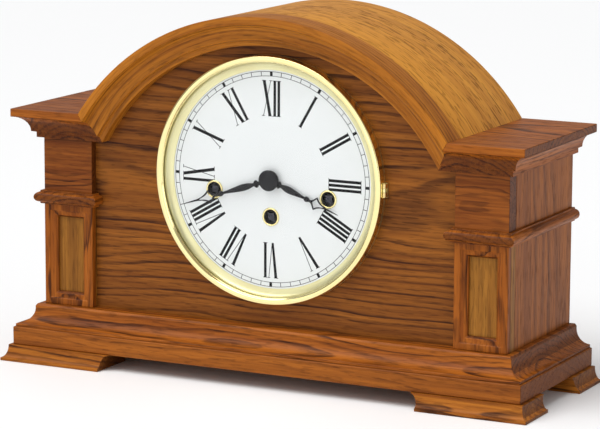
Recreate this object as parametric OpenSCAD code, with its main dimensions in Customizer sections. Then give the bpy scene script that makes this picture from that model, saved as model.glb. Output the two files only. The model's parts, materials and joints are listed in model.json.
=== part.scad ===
// Key-wound chiming mantel clock in an oak case with an arched top.
// Millimetres, +Z up, front towards -Y, origin under the middle of the clock on the surface it stands on.

/* [Case] */
// Width of the case over its pilasters
case_w = 365; // [302:1:440]
// Depth of the case from the pilaster faces to the back
case_d = 115; // [112:1:170]
// Height of the whole clock to the top of the arch
case_h = 262; // [255:1:320]
// Height to the top of the flat shoulders
shoulder_h = 185; // [178:1:222]
// Thickness of the side panels
side_t = 10; // [8:0.5:14]
// Width of each pilaster
pilaster_w = 40; // [32:1:46]
// Thickness of each pilaster
pilaster_t = 12; // [11:0.5:16]
// Thickness of the front panel
panel_t = 6; // [5.5:0.5:7]
// Thickness of the bent roof
roof_t = 6; // [4:0.5:8]

/* [Base] */
// Height of the feet
foot_h = 11.4; // [9:0.2:18]
// Length of each front foot along the front
foot_len = 82; // [60:1:95]
// Depth of each foot from front to back
foot_depth = 40; // [32:1:46]
// Thickness of the plinth board
plinth_t = 13.2; // [11:0.2:18]
// Projection of the plinth board past the case
plinth_out = 17.5; // [15:0.5:24]
// Height of the moulding on the plinth
base_mould_h = 16.1; // [14:0.1:22]
// Radius of the hollow in the plinth moulding
base_cove_r = 10.5; // [8:0.5:12]

/* [Mouldings] */
// Height of the waist moulding
waist_h = 9.8; // [8:0.2:14]
// Height of the waist moulding's lower edge
waist_z = 114.7; // [90:0.5:130]
// Projection of the top boards past the case
cornice_out = 17.5; // [14:0.5:22]
// Height of the cornice with its top boards
cornice_h = 21.5; // [20.5:0.5:26]
// Thickness of the top boards
cap_t = 5.8; // [4.5:0.1:7]
// Width of the moulded strips round each pilaster panel
frame_strip_w = 9.5; // [7:0.5:12]
// Thickness of those strips
frame_strip_t = 5; // [4:0.5:6.5]

/* [Dial] */
// How far the bezel stands out from the front panel
bezel_h = 9; // [8.6:0.2:12]
// Radius of the dial that shows inside the bezel
dial_r = 77.5; // [64.5:0.1:80]
// Width of the bezel's ring
bezel_w = 10.5; // [9.5:0.5:13]
// Gap between the bezel and the arch above it
bezel_gap = 7; // [5:0.5:14]
// Gap between the tip of the minute hand and the bezel
minute_gap = 3.5; // [2.5:0.1:12]
// Length of the hour hand as a share of the minute hand's
hour_share = 0.77; // [0.65:0.01:0.85]
// Inner radius of the three winding grommets
grommet_r = 5.2; // [4.6:0.1:6]

/* [Movement] */
// Distance between the movement's plates
plate_gap = 34; // [34:0.2:40.8]
// Thickness of each plate
plate_t = 2; // [1.5:0.1:2.5]
// Radius of the spring barrels
barrel_r = 15.2; // [13:0.2:15.4]
// Radius of the winding arbors
wind_r = 3.5; // [3:0.1:3.8]
// Distance from the hands down to the middle winding arbor
wind_drop = 26.3; // [22:0.1:31.6]
// Spacing of the hammers
hammer_pitch = 9; // [8.8:0.1:10]

/* [Door] */
// Width of the back door
door_w = 200; // [150:1:210]
// Thickness of the back frame and its door
door_t = 6; // [5:0.5:8]
// How far the back frame is set in from the back edge
back_set = 12; // [10.5:0.5:15]

/* [Hidden] */
$fn = 72;
fit = 0.05;            // radial clearance of a shaft in its bore
clear = 0.3;           // gap between pieces that pass each other
hammer_n = 4;          // hammers, each with its own chime rod
cove_steps = 8;

// Case planes
half_w = case_w / 2;
inner_x = half_w - pilaster_w;
plinth_top = foot_h + plinth_t;
foot_flare_top = 2.4;
foot_flare = 4.5;
foot_out = plinth_out + foot_flare_top + foot_flare;
total_d = case_d + foot_out;
back_y = total_d / 2;
face_y = foot_out - total_d / 2;
panel_y = face_y + pilaster_t - panel_t;
panel_back = face_y + pilaster_t;
cap_z = shoulder_h - cap_t;
cornice_z = shoulder_h - cornice_h;
base_top = plinth_top + base_mould_h;

// Arch: its outer circle passes the crown and the inner ends of the shoulders
arch_half = inner_x + 1;
arch_rise = case_h - shoulder_h;
arch_r = (arch_half * arch_half + arch_rise * arch_rise) / (2 * arch_rise);
arch_z = case_h - arch_r;
under_roof_r = arch_r - roof_t - fit;
function chord(r, z) = sqrt(max(0, r * r - (z - arch_z) * (z - arch_z)));
mitre_top = [chord(arch_r, shoulder_h), shoulder_h];
mitre_low = [chord(arch_r - cornice_h, cornice_z), cornice_z];
mitre_slope = (mitre_top[0] - mitre_low[0]) / (mitre_top[1] - mitre_low[1]);
function mitre_x(z) = mitre_low[0] + mitre_slope * (z - mitre_low[1]);

// Dial centre and the depths in front of the movement's front plate
bezel_r = dial_r + bezel_w;
dial_z = case_h - cornice_h - bezel_gap - bezel_r;
hole_ledge = 9;        // how far the panel reaches in behind the dial's visible edge
hole_r = dial_r - hole_ledge;
minute_len = dial_r - minute_gap;
hour_len = minute_len * hour_share;
dial_t = 1;
dial_front = panel_y - dial_t;
hour_y = dial_front - 2;
minute_y = hour_y - 1.6;
hand_t = 0.6;
seat_t = 2;
ring_wall = 3.4;       // side wall of the bezel's ring
ring_in = bezel_r - ring_wall;
seat_gap = 0.7;        // between that wall and the seat's rim inside it
glass_t = 1.5;
glass_rim = 5;         // height of the glass's edge over the panel
glass_r = ring_in - 0.2;
eye_r = 1.5;           // knuckles of the bezel's hinge
eye_h = 3.2;
eye_gap = 0.4;         // round the knuckles, and between them
eye_pin_r = 0.7;
eye_pin_end = 5;       // from the pin's middle to each end
hinge_x = bezel_r + 0.6;
hinge_y = panel_y - seat_t - 0.3 - eye_r;

// Movement: front plate behind the panel, wheels placed from the hand centre
plate_y = panel_back;
inside_y = plate_y + plate_t;
rear_y = inside_y + plate_gap;
outside_y = rear_y + plate_t;
plate_half_w = 66;
plate_top = 50;
plate_drop = 60;
function polar(r, a) = [r * cos(a), r * sin(a)];
wind_side = 44.7;
time_pos = [0, -wind_drop];
strike_pos = [-wind_side, -10.2];
chime_pos = [wind_side, -10.2];

// Wheels: teeth, module; a pair's centres stand at half the sum of their pitch diameters
great_n = 40;
pinion_n = 8;
time_m = 2 * wind_drop / (great_n + pinion_n);
side_m = 0.84;
centre_n = 48;
centre_m = 0.8;
third_n = 40;
third_m = 0.75;
strike_n = 32;
strike_m = 0.75;
cannon_n = 12;
minute_n = 36;
motion_m = 0.6;
motion_gap = motion_m * (cannon_n + minute_n) / 2;
minute_pinion_n = 10;
hour_n = 40;
hour_m = 2 * motion_gap / (minute_pinion_n + hour_n);
function centres(m, a, b) = m * (a + b) / 2;

third_dir = 120;
escape_dir = 30;
strike_dir = 100;
strike_fly_dir = 70;
drum_dir = -100;
chime_fly_dir = 60;
minute_dir = 60;
third_pos = polar(centres(centre_m, centre_n, pinion_n), third_dir);
escape_pos = third_pos + polar(centres(third_m, third_n, pinion_n), escape_dir);
lever_pos = escape_pos + [12.5, 0];
balance_pos = lever_pos + [13.5, 0];
strike_wheel_pos = strike_pos + polar(centres(side_m, great_n, pinion_n), strike_dir);
strike_fly_pos = strike_wheel_pos + polar(centres(strike_m, strike_n, pinion_n), strike_fly_dir);
drum_pos = chime_pos + polar(centres(side_m, great_n, pinion_n), drum_dir);
chime_fly_pos = chime_pos + polar(centres(side_m, great_n, pinion_n), chime_fly_dir);
minute_pos = polar(motion_gap, minute_dir);
pillar_pos = [[-50, 40], [50, 40], [-50, -50], [50, -50]];
screw_pos = [[-60, 46], [60, 46], [-60, -54], [60, -54]];

// Turn of a driven wheel that puts its gap on the driver's tooth
function meshed(turn, na, nb, dir) = dir + 180 + 180 / nb + (dir - turn) * na / nb;

ratchet_r = 8.5;
click_reach = 13;
click_stud_r = 1.2;
time_click_dir = 225;
side_click_dir = 90;

// Chime work behind the back plate
shaft_pos = [22, -53.6];
shaft_r = 2;
drum_r = 9;
drum_pin = 2;
first_hammer = 8;
head_drop = 30.4;
head_reach = 48;
head_r = 4;
rod_r = 1.5;
rod_drop = head_drop + 4.5;
gong_x = 100;
gong_w = 18;
function hammer_y(i) = outside_y + first_hammer + i * hammer_pitch;

// Back frame and door
frame_y = back_y - back_set - door_t;
door_face = back_y - back_set;
door_low = plinth_top + 20;
door_top = arch_z + sqrt(pow(under_roof_r, 2) - pow(door_w / 2, 2)) - 20;
door_gap = 0.8;
knuckle_r = 1.7;
door_axis_y = door_face + knuckle_r + clear;
door_axis_x = -door_w / 2;
door_hinge_z = [door_low + 28, door_top - 28];
door_leaf_h = 24;

// ---- Shared shapes ----

// Flat shape drawn as [x, z], t thick, with its front face at y
module slab(y, t) {
    translate([0, y + t, 0]) rotate([90, 0, 0]) linear_extrude(t) children();
}

// Shape drawn as [radius, y] and turned about a line along Y at pos
module turned(pos) {
    translate([pos[0], 0, pos[1]]) rotate([-90, 0, 0]) rotate_extrude() children();
}

// Round bar along Y
module bar(pos, y, len, r) {
    translate([pos[0], y, pos[1]]) rotate([-90, 0, 0]) cylinder(h = len, r = r);
}

// Outline standing up from z
module upright(points, z, h) {
    translate([0, 0, z]) linear_extrude(h) polygon(points);
}

// Box from its low corner to its high corner
module block(low, high) {
    translate(low) cube(high - low);
}

// Moulding along X or along Y; its profile is [projection, height]
module strip_x(profile, x0, x1, y) {
    translate([x0, 0, 0]) rotate([90, 0, 90]) linear_extrude(x1 - x0)
        polygon([for (p = profile) [y - p[0], p[1]]]);
}
module strip_y(profile, y0, y1, x) {
    slab(y0, y1 - y0) polygon([for (p = profile) [x + p[0], p[1]]]);
}

// Points of an arc
function arc(c, rx, rz, a0, a1) =
    [for (i = [0 : cove_steps]) let (a = a0 + (a1 - a0) * i / cove_steps) [c[0] + rx * cos(a), c[1] + rz * sin(a)]];

module both_sides() {
    children();
    mirror([1, 0, 0]) children();
}

// ---- Base ----

// Side of a foot: 0 is its outer bottom edge; the end hollows under
function foot_side(len, flare, under) = concat(
    [[0, 0], [0, 2]],
    flare > 0 ? arc([0, foot_h], flare, foot_h - 2, 270, 180 + 0.001) : [[0, foot_h]],
    [[-len - under, foot_h]],
    arc([-len - under, 2], under, foot_h - 2, 90, 0),
    [[-len, 0]]);

module foot(y_out, dir, flare) {
    intersection() {
        slab(-total_d, 2 * total_d)
            polygon([for (p = foot_side(foot_len, foot_flare, 5.4)) [half_w + foot_out + p[0], p[1]]]);
        rotate([90, 0, 90]) linear_extrude(2 * half_w)
            polygon([for (p = foot_side(foot_depth, flare, 4)) [y_out - dir * p[0], p[1]]]);
    }
}

module feet() {
    color("peru") both_sides() {
        foot(face_y - foot_out, 1, foot_flare);
        foot(back_y, -1, 0);
    }
}

module bottom_board() {
    color("sienna") block([-half_w - plinth_out, face_y - plinth_out, foot_h],
        [half_w + plinth_out, back_y, plinth_top]);
}

// Ledge, quarter hollow and small top step
base_profile = let (o = 5.5 + base_cove_r, t = base_top - 3.5) concat(
    [[0, plinth_top], [o, plinth_top], [o, t - base_cove_r]],
    arc([o, t], base_cove_r, base_cove_r, 270, 180),
    [[5.5, base_top - 1.6], [4.2, base_top], [0, base_top]]);
base_out = 5.5 + base_cove_r;

module base_moulding() {
    color("chocolate") {
        intersection() {
            strip_x(base_profile, -half_w - base_out, half_w + base_out, face_y);
            upright([[-half_w - base_out, face_y - base_out], [half_w + base_out, face_y - base_out],
                [half_w, face_y], [-half_w, face_y]], 0, case_h);
        }
        block([-inner_x, face_y, plinth_top], [inner_x, panel_y, base_top]);
        both_sides() intersection() {
            strip_y(base_profile, face_y - base_out, back_y, half_w);
            upright([[half_w, face_y], [half_w + base_out, face_y - base_out],
                [half_w + base_out, back_y], [half_w, back_y]], 0, case_h);
        }
    }
}

// ---- Case body ----

module side_panel() {
    block([half_w - side_t, panel_back, plinth_top], [half_w, back_y, cap_z]);
}

module left_side_panel() {
    color("peru") mirror([1, 0, 0]) side_panel();
}

module right_side_panel() {
    color("peru") side_panel();
}

module front_panel() {
    color("saddlebrown") difference() {
        slab(panel_y, panel_t) intersection() {
            translate([-inner_x, plinth_top]) square([2 * inner_x, case_h - plinth_top]);
            union() {
                translate([0, arch_z]) circle(r = under_roof_r);
                translate([-inner_x, plinth_top]) square([2 * inner_x, cornice_z - plinth_top]);
            }
        }
        bar([0, dial_z], panel_y - 1, panel_t + 2, hole_r);
        movement_frame() for (p = screw_pos) bar(p, panel_y + 1, panel_t, 1.4);
    }
}

module pilaster_panels() {
    color("goldenrod") both_sides()
        block([inner_x, face_y + frame_strip_t, plinth_top], [half_w, panel_back, waist_z]);
}

// Section of a pilaster strip, [distance from the frame's edge, height]
strip_steps = [[0, 5], [4.5, 5], [5.3, 4.2], [8.4, 3.4], [10, 1.6]];

// Four mitred strips round the panel; each strip is its own piece
module pilaster_frame() {
    w = pilaster_w;
    h = waist_z - base_top;
    k = frame_strip_w / 10;
    section = concat([for (p = strip_steps) [p[0] * k, p[1] / 5 * frame_strip_t]], [[frame_strip_w, 0], [0, 0]]);
    translate([inner_x, face_y + frame_strip_t, base_top]) {
        intersection() {
            linear_extrude(h) polygon([for (p = section) [p[0], -p[1]]]);
            strip_wedge([[0, 0], [frame_strip_w, frame_strip_w], [frame_strip_w, h - frame_strip_w], [0, h]]);
        }
        intersection() {
            translate([w, 0, 0]) linear_extrude(h) polygon([for (p = section) [-p[0], -p[1]]]);
            strip_wedge([[w, 0], [w - frame_strip_w, frame_strip_w], [w - frame_strip_w, h - frame_strip_w],
                [w, h]]);
        }
        intersection() {
            rotate([90, 0, 90]) linear_extrude(w) polygon([for (p = section) [-p[1], p[0]]]);
            strip_wedge([[0, 0], [w, 0], [w - frame_strip_w, frame_strip_w], [frame_strip_w, frame_strip_w]]);
        }
        intersection() {
            translate([0, 0, h]) rotate([90, 0, 90]) linear_extrude(w)
                polygon([for (p = section) [-p[1], -p[0]]]);
            strip_wedge([[0, h], [w, h], [w - frame_strip_w, h - frame_strip_w],
                [frame_strip_w, h - frame_strip_w]]);
        }
    }
}

module strip_wedge(points) {
    slab(-2 * frame_strip_t, 3 * frame_strip_t) polygon(points);
}

module pilaster_frames() {
    color("peru") both_sides() pilaster_frame();
}

module upper_blocks() {
    color("sandybrown") both_sides() block([inner_x, face_y, waist_z], [half_w, panel_back, cap_z]);
}

// Fillet, half round and fillet
waist_fillet = 2.3;
waist_profile = concat(
    [[0, waist_z], [waist_fillet, waist_z]],
    arc([waist_fillet, waist_z + waist_h / 2], waist_h / 2 - 1.2, waist_h / 2 - 1.2, -90, 90),
    [[waist_fillet, waist_z + waist_h], [0, waist_z + waist_h]]);
waist_out = waist_fillet + waist_h / 2 - 1.2;

module waist_mouldings() {
    color("peru") both_sides() {
        intersection() {
            strip_x(waist_profile, inner_x - waist_out, half_w + waist_out, face_y);
            upright([[inner_x - waist_out, face_y - waist_out], [half_w + waist_out, face_y - waist_out],
                [half_w, face_y], [inner_x, face_y]], 0, case_h);
        }
        intersection() {
            strip_y(waist_profile, face_y - waist_out, back_y, half_w);
            upright([[half_w, face_y], [half_w + waist_out, face_y - waist_out],
                [half_w + waist_out, back_y], [half_w, back_y]], 0, case_h);
        }
        intersection() {
            mirror([1, 0, 0]) strip_y(waist_profile, face_y - waist_out, panel_y, -inner_x);
            upright([[inner_x, face_y], [inner_x - waist_out, face_y - waist_out],
                [inner_x - waist_out, panel_y], [inner_x, panel_y]], 0, case_h);
        }
    }
}

// ---- Cornice and arch ----

// Fillet, small step and quarter hollow below the top boards
cornice_cove_r = 11.2;
cove_z = cap_z - cornice_cove_r;
cove_out = cornice_out + 0.4 - cornice_cove_r;
cornice_profile = concat(
    [[0, cornice_z], [3.8, cornice_z], [3.8, cove_z - 0.8], [cove_out, cove_z]],
    arc([cornice_out + 0.4, cove_z], cornice_cove_r, cornice_cove_r, 180, 92.1),
    [[cornice_out, cap_z], [0, cap_z]]);

// Everything outside, or inside, the mitre where the arch meets the shoulders
module outside_mitre() {
    slab(-total_d, 2 * total_d) polygon([[mitre_x(0), 0], [mitre_x(case_h + 5), case_h + 5],
        [mitre_x(case_h + 5) + case_w, case_h + 5], [mitre_x(0) + case_w, 0]]);
}
module inside_mitre() {
    slab(-total_d, 2 * total_d) polygon([mitre_low, [mitre_x(case_h + 5), case_h + 5],
        [-mitre_x(case_h + 5), case_h + 5], [-mitre_low[0], mitre_low[1]]]);
}

module cornice_mouldings() {
    color("peru") both_sides() {
        intersection() {
            union() {
                intersection() {
                    strip_x(cornice_profile, 0, half_w + cornice_out, face_y);
                    upright([[0, face_y - cornice_out], [half_w + cornice_out, face_y - cornice_out],
                        [half_w, face_y], [0, face_y]], 0, case_h);
                }
                block([mitre_low[0] - 2, face_y, cornice_z], [inner_x, panel_y, cap_z]);
            }
            outside_mitre();
        }
        intersection() {
            strip_y(cornice_profile, face_y - cornice_out, back_y, half_w);
            upright([[half_w, face_y], [half_w + cornice_out, face_y - cornice_out],
                [half_w + cornice_out, back_y], [half_w, back_y]], 0, case_h);
        }
    }
}

cap_front_w = 12;
cap_side_w = 18;

// Each shoulder: a front strip, a side strip and the board between them and the arch
module shoulder_boards() {
    x1 = half_w + cornice_out;
    x2 = x1 - cap_side_w;
    y0 = face_y - cornice_out;
    color("burlywood") both_sides() {
        intersection() {
            block([0, y0, cap_z], [x1, y0 + cap_front_w, shoulder_h]);
            outside_mitre();
        }
        block([x2, y0 + cap_front_w, cap_z], [x1, back_y, shoulder_h]);
        intersection() {
            block([0, y0 + cap_front_w, cap_z], [x2, panel_y, shoulder_h]);
            outside_mitre();
        }
        difference() {
            block([0, panel_y, cap_z], [x2, back_y, shoulder_h]);
            bar([0, arch_z], panel_y - 1, total_d, arch_r);
        }
    }
}

module arch_moulding() {
    drop = panel_y - face_y;
    color("chocolate") intersection() {
        turned([0, arch_z]) polygon(concat(
            [[arch_r - cornice_h, panel_y]],
            [for (i = [1 : len(cornice_profile) - 2])
                [arch_r - (shoulder_h - cornice_profile[i][1]), face_y - cornice_profile[i][0]]],
            [[arch_r, face_y - cornice_out], [arch_r, panel_y]]));
        inside_mitre();
    }
}

module arch_roof() {
    color("burlywood") slab(panel_y, back_y - panel_y) intersection() {
        difference() {
            translate([0, arch_z]) circle(r = arch_r);
            translate([0, arch_z]) circle(r = arch_r - roof_t);
        }
        translate([-arch_r, cap_z]) square([2 * arch_r, case_h]);
    }
}

// ---- Back ----

module back_frame() {
    half = half_w - side_t;
    color("tan") difference() {
        slab(frame_y, door_t) union() {
            translate([-half, plinth_top]) square([2 * half, cap_z - plinth_top]);
            intersection() {
                translate([0, arch_z]) circle(r = under_roof_r);
                translate([-arch_r, cap_z - 1]) square([2 * arch_r, case_h]);
            }
        }
        block([-door_w / 2 - door_gap, frame_y - 1, door_low - door_gap],
            [door_w / 2 + door_gap, back_y, door_top + door_gap]);
    }
}

module back_door() {
    color("tan") block([-door_w / 2, frame_y, door_low], [door_w / 2, door_face, door_top]);
}

// Hinge leaf on the face of the door or the frame, with the knuckles at the heights given
module door_leaf(z, side, knuckles) {
    for (k = knuckles) {
        difference() {
            union() {
                translate([door_axis_x, door_axis_y, z + k[0]]) cylinder(h = k[1] - k[0], r = knuckle_r);
                block([min(door_axis_x, door_axis_x + side * 4), door_face, z + k[0]],
                    [max(door_axis_x, door_axis_x + side * 4), door_face + 1, z + k[1]]);
            }
            translate([door_axis_x, door_axis_y, z + k[0] - 1]) cylinder(h = k[1] - k[0] + 2, r = 0.8 + fit);
        }
    }
    x0 = door_axis_x + side * 2.5;
    x1 = door_axis_x + side * 13;
    block([min(x0, x1), door_face, z - door_leaf_h / 2], [max(x0, x1), door_face + 1, z + door_leaf_h / 2]);
}

// Fixed leaves, each with its pin
module door_hinges() {
    color("gold") for (z = door_hinge_z) {
        door_leaf(z, -1, [[-12, -4.2], [4.2, 12]]);
        translate([door_axis_x, door_axis_y, z - 12.6]) cylinder(h = 25.2, r = 0.8);
    }
}

module door_hinge_leaves() {
    color("gold") for (z = door_hinge_z) door_leaf(z, 1, [[-4, 4]]);
}

module door_knob() {
    z = (door_low + door_top) / 2;
    color("gold") turned([door_w / 2 - 12, z]) polygon([[0, door_face], [4.5, door_face], [4.5, door_face + 1],
        [2, door_face + 2], [2, door_face + 4.5], [4.2, door_face + 6.4], [4.2, door_face + 7.6],
        [2.6, door_face + 8.6], [0, door_face + 9]]);
}

// ---- Dial, bezel and hands ----

module dial_plate() {
    color("white") difference() {
        bar([0, dial_z], dial_front, dial_t, dial_r + 1.8);
        movement_frame() {
            for (p = [time_pos, strike_pos, chime_pos]) bar(p, dial_front - 1, dial_t + 2, grommet_r + 0.5 + fit);
            bar([0, 0], dial_front - 1, dial_t + 2, 3.3);
        }
    }
}

module winding_grommets() {
    color("gold") movement_frame() for (p = [time_pos, strike_pos, chime_pos])
        turned(p) polygon([[grommet_r, panel_y], [grommet_r, dial_front - 0.8], [grommet_r + 0.4, dial_front - 1],
            [grommet_r + 1.1, dial_front - 0.4], [grommet_r + 1.1, dial_front], [grommet_r + 0.5, dial_front],
            [grommet_r + 0.5, panel_y]]);
}

// Base ring on the panel: a flat flange with a tab for the hinge, and the hollow slope that frames the dial
module bezel_seat() {
    rim = ring_in - seat_gap;
    rim_t = 0.8;
    top = glass_rim - 0.3;
    foot = dial_t + 0.5;
    color("gold") {
        turned([0, dial_z]) polygon([for (p = concat(
            [[bezel_r, 0], [bezel_r, seat_t], [rim, seat_t], [rim, top]],
            arc([dial_r, top], rim - rim_t - dial_r, top - foot, 360, 270),
            [[dial_r, dial_t], [dial_r + 2.1, dial_t], [dial_r + 2.1, 0]])) [p[0], panel_y - p[1]]]);
        block([bezel_r - 2, panel_y - seat_t, dial_z - 5], [hinge_x + eye_r, panel_y, dial_z + 5]);
    }
}

// Two fixed knuckles either side of the ring's own, and the pin through all three
module bezel_hinge() {
    pitch = eye_h - 0.2;
    color("gold") {
        for (s = [-1, 1]) translate([0, 0, dial_z + s * pitch]) difference() {
            union() {
                translate([hinge_x, hinge_y, -eye_h / 2]) cylinder(h = eye_h, r = eye_r);
                block([hinge_x - 0.3, hinge_y, -eye_h / 2],
                    [hinge_x + eye_r, panel_y - seat_t, eye_h / 2]);
            }
            translate([hinge_x, hinge_y, -eye_h]) cylinder(h = 2 * eye_h, r = eye_pin_r + fit);
        }
        translate([hinge_x, hinge_y, dial_z - eye_pin_end]) cylinder(h = 2 * eye_pin_end, r = eye_pin_r);
    }
}

// Section of the ring, [radius, height above the panel]: side wall, rounded edge, flat crest, lip over the glass
module bezel_ring() {
    top = bezel_h;
    edge = 1.2;
    crest_w = 4;
    lip_r = ring_in - 1.5;
    lip = glass_rim + glass_t + fit;
    notch = eye_pin_end + 0.3;
    own_eye = (eye_h - 2 * eye_gap) / 2;
    color("gold") difference() {
        union() {
            difference() {
                turned([0, dial_z]) polygon([for (p = concat(
                    [[bezel_r, seat_t + 0.1]],
                    arc([bezel_r - edge, top - 0.2 - edge], edge, edge, 0, 80),
                    [[bezel_r - crest_w / 2, top], [bezel_r - crest_w, top - 0.2], [lip_r, lip + 0.7],
                    [lip_r, lip], [ring_in, lip], [ring_in, seat_t + 0.1]])) [p[0], panel_y - p[1]]]);
                translate([hinge_x, hinge_y, dial_z - notch]) cylinder(h = 2 * notch, r = eye_r + eye_gap);
            }
            translate([hinge_x, hinge_y, dial_z - own_eye]) cylinder(h = 2 * own_eye, r = eye_r);
            block([ring_in + 1, hinge_y - 0.6, dial_z - own_eye], [hinge_x, hinge_y + 0.6, dial_z + own_eye]);
        }
        translate([hinge_x, hinge_y, dial_z - 2]) cylinder(h = 4, r = eye_pin_r + fit);
    }
}

glass_rise = 3.4;
glass_flat = glass_r - 2.3;
glass_curve = (glass_flat * glass_flat + glass_rise * glass_rise) / (2 * glass_rise);
function glass_lift(r) = sqrt(glass_curve * glass_curve - r * r) - (glass_curve - glass_rise);

module bezel_glass() {
    rs = [for (i = [0 : 10]) glass_flat * i / 10];
    color("lightcyan", 0.3) turned([0, dial_z]) polygon([for (p = concat(
        [for (i = [0 : 10]) [rs[i], glass_rim + glass_lift(rs[i])]],
        [[glass_r, glass_rim], [glass_r, glass_rim + glass_t]],
        [for (i = [10 : -1 : 0]) [rs[i], glass_rim + glass_t + glass_lift(rs[i])]]))
        [p[0], panel_y - p[1]]]);
}

// Outline of a hand and of its opening, [distance from the centre, half width], as shares of its length
hand_steps = [[0.06, 0.020], [0.115, 0.018], [0.124, 0.031], [0.141, 0.035], [0.154, 0.027], [0.165, 0.014],
    [0.23, 0.030], [0.284, 0.032], [0.365, 0.026], [0.446, 0.017], [0.507, 0.011], [0.524, 0.022],
    [0.546, 0.026], [0.568, 0.019], [0.584, 0.011], [0.603, 0.013], [0.628, 0.028], [0.653, 0.053],
    [0.67, 0.066], [0.69, 0.055], [0.723, 0.032], [0.764, 0.016], [0.811, 0.009], [0.892, 0.007], [1, 0.002]];
hand_opening = [[0.628, 0], [0.657, 0.036], [0.67, 0.046], [0.689, 0.036], [0.73, 0.015], [0.784, 0]];

module hand_shape(steps, len, widen) {
    polygon(concat([for (p = steps) [p[1] * len * widen, p[0] * len]],
        [for (i = [len(steps) - 1 : -1 : 0]) [-steps[i][1] * len * widen, steps[i][0] * len]]));
}

module hand(len, boss, bore, widen) {
    difference() {
        union() {
            circle(r = boss);
            hand_shape(hand_steps, len, widen);
        }
        circle(r = bore);
        hand_shape(hand_opening, len, widen);
    }
}

shown_minute = 252;    // where the hands stand, degrees from twelve
shown_hour = 111;
pipe_r = 2.9;
cannon_r = 1.9;
tip_r = 1.2;
hub_r = 7.4;           // domed cap over the middle of the hands
hub_edge = 0.5;
hub_rise = 1.8;

module hour_hand() {
    color("black") movement_frame() slab(hour_y - hand_t, hand_t)
        rotate(-shown_hour) hand(hour_len, 7, pipe_r + fit, 1.3);
}

module minute_hand() {
    color("black") movement_frame() slab(minute_y - hand_t, hand_t)
        rotate(-shown_minute) hand(minute_len, 5.5, tip_r + fit, 1);
}

module hand_nut() {
    y = minute_y - hand_t;
    bore = tip_r + fit;
    color("black") movement_frame() turned([0, 0]) polygon(concat([[bore, y], [hub_r, y]],
        arc([bore, y - hub_edge], hub_r - bore, hub_rise, 0, -90)));
}

// ---- Movement ----

module movement_frame() {
    translate([0, 0, dial_z]) children();
}

// Toothed wheel outline with straight-sided teeth
module toothed(n, m, turn) {
    rp = n * m / 2;
    pitch = 360 / n;
    polygon([for (k = [0 : n - 1]) for (p = [[-0.275, rp - m], [-0.1, rp + 0.7 * m], [0.1, rp + 0.7 * m],
        [0.275, rp - m]]) polar(p[1], turn + (k + p[0]) * pitch)]);
}

module gear(pos, y, t, n, m, turn) {
    slab(y, t) translate(pos) toothed(n, m, turn);
}

// Arbor between the plates, with a pivot in each
module arbor(pos, r) {
    bar(pos, inside_y + 0.2, plate_gap - 0.4, r);
    bar(pos, plate_y + 0.2, plate_gap + 2 * plate_t - 0.4, 1);
}

module plate_outline() {
    translate([-plate_half_w, -plate_drop]) square([2 * plate_half_w, plate_top + plate_drop]);
}

pivots = [third_pos, escape_pos, lever_pos, strike_wheel_pos, strike_fly_pos, chime_fly_pos];

function click_pos(pos, dir) = pos + polar(click_reach, dir);

module front_plate() {
    color("goldenrod") movement_frame() {
        difference() {
            slab(plate_y, plate_t) plate_outline();
            bar([0, 0], plate_y - 1, plate_t + 2, cannon_r + fit);
            for (p = [time_pos, strike_pos, chime_pos]) bar(p, plate_y - 1, plate_t + 2, wind_r + fit);
            for (p = concat(pivots, [drum_pos])) bar(p, plate_y - 1, plate_t + 2, 1 + fit);
            for (p = pillar_pos) bar(p, plate_y - 1, plate_t + 2, 1.5 + fit);
            for (p = screw_pos) bar(p, plate_y - 1, plate_t + 2, 1.4 + fit);
        }
        bar(minute_pos, plate_y - 5.2, 5.2, 1);
        bar(click_pos(time_pos, time_click_dir), plate_y - 3.4, 3.4, click_stud_r);
        bar(click_pos(strike_pos, side_click_dir), plate_y - 3.4, 3.4, click_stud_r);
        bar(click_pos(chime_pos, side_click_dir), plate_y - 3.4, 3.4, click_stud_r);
    }
}

module back_plate() {
    color("goldenrod") movement_frame() {
        difference() {
            slab(rear_y, plate_t) plate_outline();
            bar([0, 0], rear_y - 1, plate_t + 2, 1 + fit);
            for (p = [time_pos, strike_pos, chime_pos]) bar(p, rear_y - 1, plate_t + 2, 2 + fit);
            for (p = pivots) bar(p, rear_y - 1, plate_t + 2, 1 + fit);
            bar(drum_pos, rear_y - 1, plate_t + 2, 1.6 + fit);
            for (p = pillar_pos) bar(p, rear_y - 1, plate_t + 2, 1.5 + fit);
        }
        bar(shaft_pos, outside_y, hammer_y(hammer_n - 1) + 5 - outside_y, shaft_r);
    }
}

module plate_pillars() {
    color("gold") movement_frame() for (p = pillar_pos) {
        bar(p, inside_y, plate_gap, 3);
        bar(p, plate_y, plate_gap + 2 * plate_t + 2.6, 1.5);
    }
}

module pillar_nuts() {
    color("silver") movement_frame() for (p = pillar_pos) difference() {
        slab(outside_y, 2.2) translate(p) circle(r = 3.6, $fn = 6);
        bar(p, outside_y - 1, 5, 1.5 + fit);
    }
}

module movement_screws() {
    color("silver") movement_frame() for (p = screw_pos) {
        bar(p, panel_y + 1.2, panel_t + plate_t - 1, 1.4 - fit);
        turned(p) polygon([[0, inside_y], [3, inside_y], [2.6, inside_y + 1.3], [1.6, inside_y + 1.8],
            [0, inside_y + 1.8]]);
    }
}

drum_y = inside_y + 9;
spring_wall = 1;

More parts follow.
